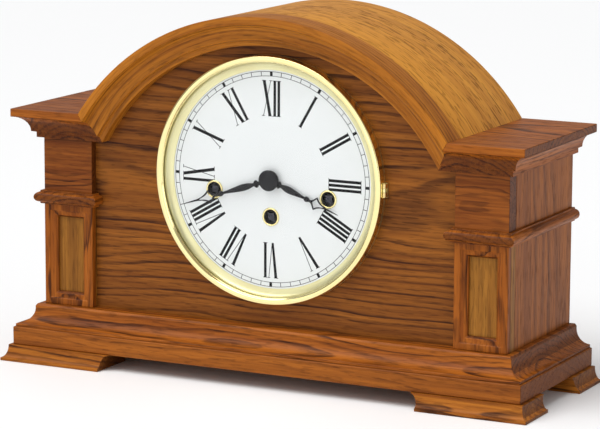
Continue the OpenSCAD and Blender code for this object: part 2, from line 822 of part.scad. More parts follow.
// Barrel with its great wheel, open at the back, and the mainspring wound inside it
module barrel(pos, m, turn) {
    difference() {
        union() {
            gear(pos, inside_y + 7, 2, great_n, m, turn);
            bar(pos, drum_y, 19, barrel_r);
        }
        bar(pos, inside_y, plate_gap, wind_r + fit);
        difference() {
            bar(pos, drum_y + 1, 19, barrel_r - spring_wall);
            bar(pos, drum_y + 1, 19, wind_r + 1.5);
        }
    }
    difference() {
        bar(pos, drum_y + 2, 16, barrel_r - spring_wall - clear);
        bar(pos, drum_y, 20, barrel_r * 0.55);
    }
}

time_turn = meshed(0, pinion_n, great_n, -90);

module time_barrel() {
    color("gold") movement_frame() barrel(time_pos, time_m, time_turn);
}

module strike_barrel() {
    color("gold") movement_frame() barrel(strike_pos, side_m, 0);
}

module chime_barrel() {
    color("gold") movement_frame() barrel(chime_pos, side_m, 0);
}

// Winding arbor: square end in the dial, ratchet before the plate, pivot at the back
ratchet_n = 18;
module winding_arbor(pos) {
    bar(pos, plate_y - 3, inside_y + plate_gap - 5 - plate_y + 3, wind_r);
    bar(pos, plate_y, plate_gap + 2 * plate_t - 0.2, 2);
    slab(plate_y - 6.3, 3.4) translate(pos) translate([-2.4, -2.4]) square(4.8);
    slab(plate_y - 3, 2) translate(pos) polygon([for (k = [0 : ratchet_n - 1]) for (p = [[0, ratchet_r],
        [0.12, ratchet_r - 1.3]]) polar(p[1], (k + p[0]) * 360 / ratchet_n)]);
}

module time_winding_arbor() {
    color("silver") movement_frame() winding_arbor(time_pos);
}

module strike_winding_arbor() {
    color("silver") movement_frame() winding_arbor(strike_pos);
}

module chime_winding_arbor() {
    color("silver") movement_frame() winding_arbor(chime_pos);
}

// Click on its stud; its tip stands just clear of the ratchet's teeth
module click(pos, dir) {
    slab(plate_y - 2.8, 1.6) translate(pos) rotate(dir - 90) difference() {
        union() {
            translate([0, click_reach]) circle(r = 2.3);
            polygon([[-1.6, click_reach - 1], [1.4, click_reach + 1.8], [7.6, 7.4], [6.5, 6.4]]);
        }
        translate([0, click_reach]) circle(r = click_stud_r + fit);
    }
}

module time_click() {
    color("silver") movement_frame() click(time_pos, time_click_dir);
}

module strike_click() {
    color("silver") movement_frame() click(strike_pos, side_click_dir);
}

module chime_click() {
    color("silver") movement_frame() click(chime_pos, side_click_dir);
}

// Going train

module centre_arbor() {
    color("silver") movement_frame() {
        bar([0, 0], plate_y - 0.6, plate_gap + plate_t + 0.4, cannon_r);
        bar([0, 0], rear_y - 1, plate_t + 0.8, 1);
        gear([0, 0], inside_y + 6.5, 3.5, pinion_n, time_m, 0);
        gear([0, 0], inside_y + 3, 2, centre_n, centre_m, 0);
        gear([0, 0], plate_y - 2.9, 2.2, cannon_n, motion_m, 0);
        bar([0, 0], minute_y, plate_y - 1 - minute_y, cannon_r);
        bar([0, 0], minute_y - hand_t - hub_edge - hub_rise + 0.2, 3.6, tip_r);
    }
}

minute_turn = meshed(0, cannon_n, minute_n, minute_dir);
hour_turn = meshed(0, minute_pinion_n, hour_n, minute_dir + 180);

module minute_wheel() {
    color("gold") movement_frame() difference() {
        union() {
            gear(minute_pos, plate_y - 2.4, 1.2, minute_n, motion_m, minute_turn);
            gear(minute_pos, plate_y - 4.9, 2.6, minute_pinion_n, hour_m, 0);
        }
        bar(minute_pos, plate_y - 6, 7, 1 + fit);
    }
}

module hour_wheel() {
    color("gold") movement_frame() difference() {
        union() {
            gear([0, 0], plate_y - 4.6, 1.2, hour_n, hour_m, hour_turn);
            bar([0, 0], hour_y - hand_t - 0.2, plate_y - 3.4 - hour_y + hand_t + 0.2, pipe_r);
        }
        bar([0, 0], minute_y - 2, plate_gap, cannon_r + fit);
    }
}

third_turn = meshed(0, centre_n, pinion_n, third_dir);
escape_turn = meshed(0, third_n, pinion_n, escape_dir);

module third_wheel() {
    color("gold") movement_frame() {
        arbor(third_pos, 1.6);
        gear(third_pos, inside_y + 2.5, 3, pinion_n, centre_m, third_turn);
        gear(third_pos, inside_y + 20, 1.5, third_n, third_m, 0);
    }
}

escape_r = 8.5;
escape_n = 15;

module escape_wheel() {
    color("gold") movement_frame() {
        arbor(escape_pos, 1.4);
        gear(escape_pos, inside_y + 19.5, 2.5, pinion_n, third_m, escape_turn);
        slab(inside_y + 26, 1.2) translate(escape_pos) polygon([for (k = [0 : escape_n - 1])
            for (p = [[0, 6.4], [0.3, escape_r], [0.42, escape_r], [0.45, 6.4]])
                polar(p[1], (k + p[0]) * 360 / escape_n)]);
    }
}

module pallet_lever() {
    color("silver") movement_frame() {
        arbor(lever_pos, 1.3);
        slab(inside_y + 25.8, 1.6) translate(lever_pos) polygon([[-1.6, 1], [-5.6, 6.8], [-4.4, 7.8], [1.6, 2.2],
            [9.4, 1], [10.8, 2], [10.8, 1], [10, 0], [10.8, -1], [10.8, -2], [9.4, -1], [1.6, -2.2], [-4.4, -7.8],
            [-5.6, -6.8], [-1.6, -1]]);
    }
}

balance_r = 11;

module balance() {
    color("gold") movement_frame() {
        bar(balance_pos, inside_y + 13.8, 16.4, 1);
        bar(balance_pos, inside_y + 11.8, 20.4, 0.7);
        bar(balance_pos, inside_y + 17.4, 3.2, 2.2);
        bar(balance_pos, inside_y + 23.4, 1, 2);
        slab(inside_y + 18, 2) translate(balance_pos) {
            difference() {
                circle(r = balance_r);
                circle(r = balance_r - 1.6);
            }
            square([2 * balance_r - 2, 1.8], center = true);
        }
    }
}

module balance_bridge() {
    x = balance_pos[0];
    z = balance_pos[1];
    top = z + balance_r + 2;
    color("goldenrod") movement_frame() difference() {
        union() {
            block([x - 4, inside_y + 11.5, top], [x + 4, rear_y, top + 5]);
            block([x - 3, inside_y + 11.5, z - 3], [x + 3, inside_y + 13.3, top + 1]);
            block([x - 3, inside_y + 30.7, z - 3], [x + 3, inside_y + 32.6, top + 1]);
        }
        bar(balance_pos, inside_y + 10, 24, 0.7 + fit);
    }
}

// Striking and chiming trains

strike_turn = meshed(0, great_n, pinion_n, strike_dir);
strike_fly_turn = meshed(0, strike_n, pinion_n, strike_fly_dir);
drum_turn = meshed(0, great_n, pinion_n, drum_dir);
chime_fly_turn = meshed(0, great_n, pinion_n, chime_fly_dir);

module strike_wheel() {
    color("gold") movement_frame() {
        arbor(strike_wheel_pos, 1.4);
        gear(strike_wheel_pos, inside_y + 6.6, 2.6, pinion_n, side_m, strike_turn);
        gear(strike_wheel_pos, inside_y + 3, 1.5, strike_n, strike_m, 0);
    }
}

// Fly: two thin vanes on the arbor
module fly(pos, y, len, reach) {
    slab(y, len) translate(pos) square([2 * reach, 0.8], center = true);
}

module strike_fly() {
    color("silver") movement_frame() {
        arbor(strike_fly_pos, 1.2);
        gear(strike_fly_pos, inside_y + 2.5, 2.5, pinion_n, strike_m, strike_fly_turn);
        fly(strike_fly_pos, inside_y + 10, 14, 9);
    }
}

module chime_fly() {
    color("silver") movement_frame() {
        arbor(chime_fly_pos, 1.2);
        gear(chime_fly_pos, inside_y + 6.6, 2.6, pinion_n, side_m, chime_fly_turn);
        fly(chime_fly_pos, inside_y + 29, 4.2, 9);
    }
}

// Pinned drum behind the back plate; each row of pins serves one hammer
drum_pins = 8;

module chime_drum() {
    end = hammer_y(hammer_n - 1) + 5;
    color("gold") movement_frame() {
        bar(drum_pos, inside_y + 0.2, outside_y + 4 - inside_y, 1.6);
        bar(drum_pos, plate_y + 0.2, 4, 1);
        gear(drum_pos, inside_y + 6.6, 2.6, pinion_n, side_m, drum_turn);
        bar(drum_pos, outside_y + 3, end - outside_y - 3, drum_r);
        for (i = [0 : hammer_n - 1]) for (k = [0 : drum_pins - 1])
            translate([drum_pos[0], hammer_y(i), drum_pos[1]]) rotate([0, (k + i / hammer_n) * 360 / drum_pins, 0])
                cylinder(h = drum_r + drum_pin, r = 0.7, $fn = 16);
    }
}

// Hammer: hub on the shaft, tail towards the drum, arm and head over its rod
module hammer(i) {
    to_drum = drum_pos - shaft_pos;
    span = norm(to_drum);
    dir = atan2(to_drum[1], to_drum[0]);
    y = hammer_y(i);
    color("silver") movement_frame() translate([shaft_pos[0], 0, shaft_pos[1]]) {
        slab(y - 1.5, 3) difference() {
            union() {
                circle(r = 4);
                rotate(dir) translate([0, -1]) square([span - drum_r - drum_pin - 0.6, 2]);
                polygon([[0, 1.6], [head_reach, -12.4], [head_reach, -15.6], [0, -1.6]]);
            }
            circle(r = shaft_r + fit);
        }
        translate([head_reach, y, -head_drop]) cylinder(h = 17, r = head_r);
    }
}

module hammer_1() {
    hammer(0);
}

module hammer_2() {
    hammer(1);
}

module hammer_3() {
    hammer(2);
}

module hammer_4() {
    hammer(3);
}

rod_z = dial_z + shaft_pos[1] - rod_drop;
rod_start = gong_x + 8;
rod_edge = 5;          // from the outer rods to the faces of the block

module gong_block() {
    y0 = hammer_y(0) - rod_edge;
    y1 = hammer_y(hammer_n - 1) + rod_edge;
    color("dimgray") difference() {
        block([gong_x, y0, plinth_top], [gong_x + gong_w, y1, rod_z + 6]);
        for (i = [0 : hammer_n - 1]) translate([gong_x - 1, hammer_y(i), rod_z]) rotate([0, 90, 0])
            cylinder(h = 9, r = rod_r + fit);
    }
}

module chime_rods() {
    color("silver") for (i = [0 : hammer_n - 1]) translate([rod_start, hammer_y(i), rod_z]) rotate([0, -90, 0])
        cylinder(h = 206 - 12 * i, r = rod_r);
}

bottom_board();
feet();
base_moulding();
left_side_panel();
right_side_panel();
front_panel();
pilaster_frames();
pilaster_panels();
upper_blocks();
waist_mouldings();
cornice_mouldings();
shoulder_boards();
arch_moulding();
arch_roof();
back_frame();
back_door();
door_hinges();
door_hinge_leaves();
door_knob();
dial_plate();
winding_grommets();
bezel_seat();
bezel_hinge();
bezel_ring();
bezel_glass();
hour_hand();
minute_hand();
hand_nut();
front_plate();
back_plate();
plate_pillars();
pillar_nuts();
movement_screws();
time_barrel();
strike_barrel();
chime_barrel();
time_winding_arbor();
strike_winding_arbor();
chime_winding_arbor();
time_click();
strike_click();
chime_click();
centre_arbor();
minute_wheel();
hour_wheel();
third_wheel();
escape_wheel();
pallet_lever();
balance();
balance_bridge();
strike_wheel();
strike_fly();
chime_drum();
chime_fly();
hammer_1();
hammer_2();
hammer_3();
hammer_4();
gong_block();
chime_rods();
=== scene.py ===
# Chiming mantel clock in oak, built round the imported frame. Metres, +Z up, the dial faces -Y.
import json
import math
import random

import bmesh
import bpy
from mathutils import Matrix, Vector


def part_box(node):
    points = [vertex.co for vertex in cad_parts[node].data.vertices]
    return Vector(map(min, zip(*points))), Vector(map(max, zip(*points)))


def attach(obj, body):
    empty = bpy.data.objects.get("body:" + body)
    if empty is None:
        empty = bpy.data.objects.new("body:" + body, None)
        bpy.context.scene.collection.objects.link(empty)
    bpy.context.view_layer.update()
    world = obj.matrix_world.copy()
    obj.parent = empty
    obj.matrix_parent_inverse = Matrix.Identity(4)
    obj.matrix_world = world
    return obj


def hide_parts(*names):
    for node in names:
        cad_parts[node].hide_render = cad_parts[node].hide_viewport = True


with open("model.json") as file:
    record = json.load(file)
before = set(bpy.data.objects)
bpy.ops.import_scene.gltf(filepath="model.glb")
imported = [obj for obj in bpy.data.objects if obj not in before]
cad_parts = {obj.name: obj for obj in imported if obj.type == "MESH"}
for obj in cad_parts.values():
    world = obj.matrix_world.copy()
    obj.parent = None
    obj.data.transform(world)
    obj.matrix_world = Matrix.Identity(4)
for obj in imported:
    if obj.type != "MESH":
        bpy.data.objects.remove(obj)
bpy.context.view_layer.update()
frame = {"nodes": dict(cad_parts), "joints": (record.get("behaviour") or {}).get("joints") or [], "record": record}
joints = {j["name"]: j for j in frame["joints"]}
mm = 0.001
print("frame loaded,", len(frame["nodes"]), "nodes")


class Flow:  # one output socket; arithmetic on it adds Math nodes
    def __init__(self, finish, socket):
        self.finish = finish
        self.socket = socket

    def maths(self, operation, *parts):
        node = self.finish.add("ShaderNodeMath", {"operation": operation}, dict(enumerate(parts)))
        return Flow(self.finish, node.outputs[0])

    def __add__(self, other):
        return self.maths("ADD", self, other)

    def __radd__(self, other):
        return self.maths("ADD", other, self)

    def __sub__(self, other):
        return self.maths("SUBTRACT", self, other)

    def __rsub__(self, other):
        return self.maths("SUBTRACT", other, self)

    def __mul__(self, other):
        return self.maths("MULTIPLY", self, other)

    def __rmul__(self, other):
        return self.maths("MULTIPLY", other, self)

    def fraction(self):
        return self.maths("FRACT", self)

    def clipped(self, low=0.0, high=1.0):
        return self.maths("MINIMUM", self.maths("MAXIMUM", self, low), high)


class Finish:  # a material and the one way nodes are added to it
    def __init__(self, name):
        self.material = bpy.data.materials.new(name)
        self.material.use_nodes = True
        self.tree = self.material.node_tree
        self.tree.nodes.clear()

    def add(self, kind, settings=None, values=None):
        node = self.tree.nodes.new(kind)
        for key, value in (settings or {}).items():
            setattr(node, key, value)
        for key, value in (values or {}).items():
            target = node.inputs[key]
            if isinstance(value, Flow):
                self.tree.links.new(value.socket, target)
            elif hasattr(target.default_value, "__len__") and len(target.default_value) == 4 and len(value) == 3:
                target.default_value = (*value, 1.0)
            else:
                target.default_value = value
        return node

    def out(self, kind, settings=None, values=None, socket=0):
        return Flow(self, self.add(kind, settings, values).outputs[socket])

    def attribute(self, name, socket="Fac"):
        return self.out("ShaderNodeAttribute", {"attribute_name": name}, None, socket)

    def spot(self):
        return self.out("ShaderNodeTexCoord", None, None, "Object")

    def stretched(self, place, scale, shift=(0, 0, 0)):
        scaled = self.out("ShaderNodeVectorMath", {"operation": "MULTIPLY"}, {0: place, 1: scale})
        if any(shift):
            return self.out("ShaderNodeVectorMath", {"operation": "ADD"}, {0: scaled, 1: shift})
        return scaled

    def noise(self, place, along, across=None, third=None, detail=2.0, rough=0.5):  # cells in a metre each way
        cells = (along, along if across is None else across, third or across or along)
        values = {"Vector": self.stretched(place, cells), "Scale": 1.0, "Detail": detail, "Roughness": rough}
        return self.out("ShaderNodeTexNoise", None, values, "Fac")

    def window(self, value, low, high, toLow=0.0, toHigh=1.0):
        values = {"Value": value, "From Min": low, "From Max": high, "To Min": toLow, "To Max": toHigh}
        return self.out("ShaderNodeMapRange", {"interpolation_type": "SMOOTHSTEP"}, values)

    def blend(self, factor, first, second):
        node = self.add("ShaderNodeMix", {"data_type": "RGBA"})
        for key, value in ((0, factor), (6, first), (7, second)):
            if isinstance(value, Flow):
                self.tree.links.new(value.socket, node.inputs[key])
            else:
                node.inputs[key].default_value = (*value, 1.0)
        return Flow(self, node.outputs[2])

    def bump(self, height, strength, distance):
        values = {"Height": height, "Strength": strength, "Distance": distance}
        return self.out("ShaderNodeBump", None, values, "Normal")

    def close(self, values, **constants):
        shader = self.add("ShaderNodeBsdfPrincipled", None, values)
        for key, value in constants.items():
            shader.inputs[key.replace("_", " ")].default_value = value
        output = self.add("ShaderNodeOutputMaterial")
        self.tree.links.new(shader.outputs[0], output.inputs["Surface"])
        return self.material


def tint(red, green, blue):  # a colour read off a swatch, 0 to 255, as a linear one
    def one(c):
        c = c / 255
        return c / 12.92 if c <= 0.04045 else ((c + 0.055) / 1.055) ** 2.4
    return (one(red), one(green), one(blue))


# Oak. rings is growth rings in a metre, heart how deep the pith lies, warp and ripple how far the rings
# wander, lines and pores how strongly they show, dash and thread how many pores a metre holds along and across.
# What a look leaves out is as in usualOak
usualOak = {"heart": 0.06, "warp": 0.05, "ripple": 0.004, "lines": 0.95, "pores": 0.6, "dash": 80.0,
            "thread": 820.0, "gloss": 0.42}
oakLooks = {
    "panelOak": {"light": tint(152, 91, 31), "mid": tint(114, 63, 19), "dark": tint(54, 24, 9),
                 "rings": 250.0},
    "caseOak": {"light": tint(160, 91, 28), "mid": tint(127, 68, 19), "dark": tint(72, 32, 9),
                "rings": 230.0, "heart": 0.05, "warp": 0.045, "lines": 0.6, "dash": 90.0},
    "blockOak": {"light": tint(154, 86, 28), "mid": tint(109, 54, 15), "dark": tint(55, 23, 7),
                 "rings": 250.0, "heart": 0.03, "warp": 0.07, "ripple": 0.02, "pores": 0.5, "gloss": 0.4},
    "mouldOak": {"light": tint(164, 92, 27), "mid": tint(123, 61, 14), "dark": tint(55, 22, 6),
                 "rings": 280.0, "ripple": 0.005, "lines": 0.9, "gloss": 0.4},
    "archOak": {"light": tint(179, 110, 31), "mid": tint(138, 77, 19), "dark": tint(73, 37, 11),
                "rings": 260.0, "heart": 0.05, "warp": 0.03, "ripple": 0.003, "lines": 0.7, "pores": 0.5,
                "dash": 90.0, "gloss": 0.4},
    # The roof's look is much lighter than the other oak. Part of that is its own flatter figure, and part is
    # painted light standing in for the overhead lamp on the top.
    "roofOakPaintedLight": {"light": tint(215, 147, 49), "mid": tint(186, 118, 33), "dark": tint(110, 61, 16),
                "rings": 110.0, "heart": 0.25, "warp": 0.03, "ripple": 0.002, "lines": 0.25, "pores": 0.9,
                "dash": 100.0, "thread": 520.0, "gloss": 0.45},
    "footOak": {"light": tint(183, 112, 36), "mid": tint(131, 70, 18), "dark": tint(61, 28, 8),
                "rings": 260.0, "heart": 0.05, "warp": 0.06, "ripple": 0.006, "thread": 700.0},
    "inlayOak": {"light": tint(166, 111, 41), "mid": tint(127, 79, 27), "dark": tint(63, 35, 11),
                 "rings": 200.0, "lines": 0.75, "pores": 0.5},
    "plainOak": {"light": tint(168, 120, 66), "mid": tint(144, 96, 48), "dark": tint(92, 58, 28),
                 "rings": 180.0, "heart": 0.1, "lines": 0.5, "dash": 100.0, "gloss": 0.6},
}


def makeOak(name):
    look = {**usualOak, **oakLooks[name]}
    f = Finish(name)
    place = f.attribute("grainPlace", "Vector")
    tone = f.attribute("boardTone")
    figure = f.attribute("grainFigure")
    ends = f.attribute("endGrain")
    drift = f.noise(place, 2.6, 8.0)
    ripple = f.noise(place, 15.0, 50.0)
    pith = f.stretched(place, (0.0, 1.0, 1.0), (0.0, 0.0, look["heart"]))
    radius = f.out("ShaderNodeVectorMath", {"operation": "LENGTH"}, {0: pith}, "Value")
    ring = (radius + (drift - 0.5) * look["warp"] + (ripple - 0.5) * look["ripple"]) * look["rings"]
    cycle = ring.fraction()
    vary = f.out("ShaderNodeTexNoise", {"noise_dimensions": "1D"}, {"W": ring, "Scale": 0.45, "Detail": 1.0}, "Fac")
    line = f.window(cycle, 0.4, 0.86) * (1.0 - f.window(cycle, 0.9, 1.0)) * f.window(vary, 0.32, 0.62, 0.15, 1.0)
    broken = f.noise(place, 22.0, 420.0)
    line = line * f.window(broken, 0.3, 0.58, 0.3, 1.0) * figure
    broad = f.noise(place, 4.0, 130.0, rough=0.6)
    streak = f.noise(place, 14.0, 480.0, rough=0.6)
    fine = f.noise(place, 40.0, 1400.0, rough=0.6)
    dashes = f.noise(place, look["dash"], look["thread"], detail=1.0)
    pore = f.window(dashes, 0.54, 0.64) * (0.45 + line * 0.55)
    level = (broad - 0.5) * 1.9 + (streak - 0.5) * 1.7 + (fine - 0.5) * 0.5 + (tone - 0.5) * 0.7 + 0.5
    colour = f.blend(level.clipped(), look["mid"], look["light"])
    colour = f.blend((line * look["lines"]).clipped(), colour, look["dark"])
    colour = f.blend((pore * look["pores"]).clipped(), colour, tuple(c * 0.7 for c in look["dark"]))
    colour = f.blend(ends * 0.55, colour, look["dark"])
    rough = look["gloss"] + pore * 0.2 + (fine - 0.5) * 0.1
    height = (1.0 - pore) * 0.8 + fine * 0.2
    return f.close({"Base Color": colour, "Roughness": rough, "Normal": f.bump(height, 0.3, 0.0002)},
                   Coat_Weight=0.03, Coat_Roughness=0.25, Specular_IOR_Level=0.1)


def makeBrass(name, colour, rough, scratch):
    f = Finish(name)
    spot = f.spot()
    cloud = f.noise(spot, 30.0, detail=3.0)
    rub = f.noise(spot, 260.0, 2600.0, 260.0)
    shade = f.blend(f.window(cloud, 0.3, 0.75) * 0.3, colour, tuple(c * v for c, v in zip(colour, (0.9, 0.8, 0.6))))
    return f.close({"Base Color": shade, "Roughness": rough + cloud * rough * 0.6 + (rub - 0.5) * scratch,
                    "Normal": f.bump(rub, scratch * 0.6, 0.00005)}, Metallic=1.0)


def makeSteel(name, colour, rough):
    f = Finish(name)
    spot = f.spot()
    rub = f.noise(spot, 900.0, 120.0, 900.0)
    shade = f.blend(rub * 0.35, colour, tuple(c * 0.7 for c in colour))
    return f.close({"Base Color": shade, "Roughness": rough + (rub - 0.5) * 0.2,
                    "Normal": f.bump(rub, 0.1, 0.00005)}, Metallic=1.0)


def makePaint(name, colour, rough, grit, coat=0.0, sheen=0.5):
    f = Finish(name)
    spot = f.spot()
    cloud = f.noise(spot, 22.0)
    skin = f.noise(spot, 1500.0)
    shade = f.blend(cloud * 0.25, colour, tuple(c * 0.94 for c in colour))
    return f.close({"Base Color": shade, "Roughness": rough + (skin - 0.5) * grit,
                    "Normal": f.bump(skin, grit * 0.5, 0.00003)},
                   Coat_Weight=coat, Coat_Roughness=0.15, Specular_IOR_Level=sheen)


def makeGlass(name):
    f = Finish(name)
    smear = f.noise(f.spot(), 18.0, detail=3.0)
    clear = f.add("ShaderNodeBsdfTransparent")
    edge = f.out("ShaderNodeFresnel", None, {"IOR": 1.3})
    mixed = f.add("ShaderNodeMixShader", None, {"Fac": edge * 0.45})
    f.tree.links.new(clear.outputs[0], mixed.inputs[1])
    gloss = f.add("ShaderNodeBsdfGlossy", None, {"Color": (1.0, 1.0, 1.0), "Roughness": 0.02 + smear * 0.03})
    f.tree.links.new(gloss.outputs[0], mixed.inputs[2])
    output = f.add("ShaderNodeOutputMaterial")
    f.tree.links.new(mixed.outputs[0], output.inputs["Surface"])
    return f.material


materials = {name: makeOak(name) for name in oakLooks}
for make, rows in (
        (makeBrass, (("bezelBrass", (0.95, 0.84, 0.42), 0.09, 0.015),
                     ("seatBrass", (0.80, 0.76, 0.44), 0.30, 0.05),
                     ("hingeBrass", (0.86, 0.66, 0.30), 0.22, 0.10),
                     ("plateBrass", (0.80, 0.62, 0.30), 0.30, 0.16))),
        # The winding arbors' steel is painted near black. This is painted shade that makes the winding holes read
        # dark, as if in deep shadow, with only a glint.
        (makeSteel, (("wheelSteel", (0.62, 0.61, 0.60), 0.28), ("rodSteel", (0.50, 0.47, 0.42), 0.35),
                     ("arborSteel", (0.05, 0.05, 0.06), 0.32))),
        (makePaint, (("blockIron", (0.035, 0.035, 0.038), 0.45, 0.3),
                     ("dialWhite", (0.86, 0.89, 0.89), 0.4, 0.05, 0.1),
                     ("dialInk", (0.003, 0.003, 0.004), 0.6, 0.1, 0.0, 0.1),
                     ("handBlack", (0.004, 0.004, 0.006), 0.22, 0.06, 0.0, 0.25))),
        (makeGlass, (("dialGlass",),))):
    for row in rows:
        materials[row[0]] = make(*row)
print("finishes made:", len(materials))


# Mesh helpers

def newPiece(name, mesh, material=None):
    piece = bpy.data.objects.new(name, mesh)
    bpy.context.scene.collection.objects.link(piece)
    return coated(piece, material) if material else piece


def coated(piece, material):
    piece.data.materials.clear()
    piece.data.materials.append(materials[material])
    return piece


def meshOf(work, name):  # a new mesh from what has been worked, which is then let go
    mesh = bpy.data.meshes.new(name)
    work.to_mesh(mesh)
    work.free()
    return mesh


def rounded(piece, angle=35.0):  # smooth faces, with every edge past the angle kept sharp
    mesh = piece.data
    mesh.polygons.foreach_set("use_smooth", [True] * len(mesh.polygons))
    mesh.set_sharp_from_angle(angle=math.radians(angle))
    return piece


def settled(piece):  # what the modifiers make becomes the piece's own mesh
    graph = bpy.context.evaluated_depsgraph_get()
    made = bpy.data.meshes.new_from_object(piece.evaluated_get(graph), depsgraph=graph)
    piece.modifiers.clear()
    piece.data = made
    return piece


def copyOf(node, flat=0.6):  # a merged copy of a CAD node, with its flat faces whole again
    source = frame["nodes"][node].data
    work = bmesh.new()
    work.from_mesh(source)
    bmesh.ops.remove_doubles(work, verts=work.verts, dist=2e-6)
    bmesh.ops.dissolve_limit(work, angle_limit=math.radians(flat), verts=work.verts, edges=work.edges)
    return newPiece(node + "_piece", meshOf(work, node))


def softened(piece, width, angle=32.0, steps=2):  # small rounded arrises with the flats left flat
    bevel = piece.modifiers.new("arris", "BEVEL")
    bevel.width = width
    bevel.segments = steps
    bevel.limit_method = "ANGLE"
    bevel.angle_limit = math.radians(angle)
    bevel.use_clamp_overlap = True
    rounded(piece, 60.0)
    weigh = piece.modifiers.new("flats", "WEIGHTED_NORMAL")
    weigh.keep_sharp = True
    return settled(piece)


def boardsOf(mesh):  # which board each vertex belongs to
    parent = list(range(len(mesh.vertices)))

    def root(i):
        while parent[i] != i:
            parent[i] = parent[parent[i]]
            i = parent[i]
        return i
    for edge in mesh.edges:
        a, b = root(edge.vertices[0]), root(edge.vertices[1])
        if a != b:
            parent[a] = b
    names = {}
    return [names.setdefault(root(i), len(names)) for i in range(len(mesh.vertices))], len(names)


axisOrder = {"x": (0, 1, 2), "y": (1, 0, 2), "z": (2, 0, 1)}


def layGrain(piece, rule, seed, spread=0.5, tone=0.5, endDark=True):
    # Writes where each corner lies in its own board: along the grain, across it, and into its depth
    draw = random.Random(seed)
    mesh = piece.data
    board, count = boardsOf(mesh)
    low = [[1e9] * 3 for _ in range(count)]
    high = [[-1e9] * 3 for _ in range(count)]
    for i, vertex in enumerate(mesh.vertices):
        for k in range(3):
            low[board[i]][k] = min(low[board[i]][k], vertex.co[k])
            high[board[i]][k] = max(high[board[i]][k], vertex.co[k])
    shifts = [[draw.uniform(-3, 3), draw.uniform(-0.03, 0.03), draw.uniform(-0.012, 0.012)] for _ in range(count)]
    tones = [tone + draw.uniform(-0.5, 0.5) * spread for _ in range(count)]
    directions = []
    for b in range(count):
        size = [high[b][k] - low[b][k] for k in range(3)]
        centre = [(high[b][k] + low[b][k]) / 2 for k in range(3)]
        chosen = rule(size, centre) if callable(rule) else rule
        directions.append("xyz"[size.index(max(size))] if chosen == "longest" else chosen)
    places, toneValues, endValues, figureValues = [], [], [], []
    for face in mesh.polygons:
        b = board[face.vertices[0]]
        way = directions[b]
        for loop in face.loop_indices:
            co = mesh.vertices[mesh.loops[loop].vertex_index].co
            if way in axisOrder:
                order = axisOrder[way]
                size = [high[b][k] - low[b][k] for k in range(3)]
                across = sorted(order[1:], key=lambda k: -size[k])
                middle = [(high[b][k] + low[b][k]) / 2 for k in range(3)]
                at = [co[order[0]], co[across[0]] - middle[across[0]], co[across[1]] - middle[across[1]]]
                end = abs(face.normal[order[0]]) > 0.75
                shown = 1.0
            else:
                at, end, shown = way(co, face)
            places += [at[k] + shifts[b][k] for k in range(3)]
            toneValues.append(tones[b])
            endValues.append(1.0 if end and endDark else 0.0)
            figureValues.append(shown)
    mesh.attributes.new("grainPlace", "FLOAT_VECTOR", "CORNER").data.foreach_set("vector", places)
    mesh.attributes.new("boardTone", "FLOAT", "CORNER").data.foreach_set("value", toneValues)
    mesh.attributes.new("endGrain", "FLOAT", "CORNER").data.foreach_set("value", endValues)
    mesh.attributes.new("grainFigure", "FLOAT", "CORNER").data.foreach_set("value", figureValues)
    return piece


def finished(piece, body, slot, *nodes):
    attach(piece, body)
    if nodes:
        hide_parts(*nodes)
    return piece


def lathe(name, outline, centre, steps, material, closed=True):  # [radius, y] turned about a line along Y
    work = bmesh.new()
    rings = []
    for radius, y in outline:
        if radius < 1e-9:
            rings.append([work.verts.new((centre[0], y, centre[1]))])
        else:
            rings.append([work.verts.new((centre[0] + radius * math.sin(2 * math.pi * k / steps), y,
                                          centre[1] + radius * math.cos(2 * math.pi * k / steps)))
                          for k in range(steps)])
    pairs = list(zip(rings, rings[1:])) + ([(rings[-1], rings[0])] if closed else [])
    for first, second in pairs:
        if len(first) == 1 and len(second) == 1:
            continue
        for k in range(steps):
            n = (k + 1) % steps
            if len(first) == 1:
                work.faces.new((first[0], second[k], second[n]))
            elif len(second) == 1:
                work.faces.new((first[k], second[0], first[n]))
            else:
                work.faces.new((first[k], second[k], second[n], first[n]))
    bmesh.ops.recalc_face_normals(work, faces=work.faces)
    return newPiece(name, meshOf(work, name), material)


def prism(work, outline, near, far):  # [x, z] outline standing between two depths
    front = [work.verts.new((x, near, z)) for x, z in outline]
    back = [work.verts.new((x, far, z)) for x, z in outline]
    work.faces.new(front)
    work.faces.new(back[::-1])
    for k in range(len(outline)):
        n = (k + 1) % len(outline)
        work.faces.new((front[n], front[k], back[k], back[n]))


def arcOf(centre, rx, ry, fromAngle, toAngle, steps):
    return [(centre[0] + rx * math.cos(math.radians(fromAngle + (toAngle - fromAngle) * k / steps)),
             centre[1] + ry * math.sin(math.radians(fromAngle + (toAngle - fromAngle) * k / steps)))
            for k in range(steps + 1)]


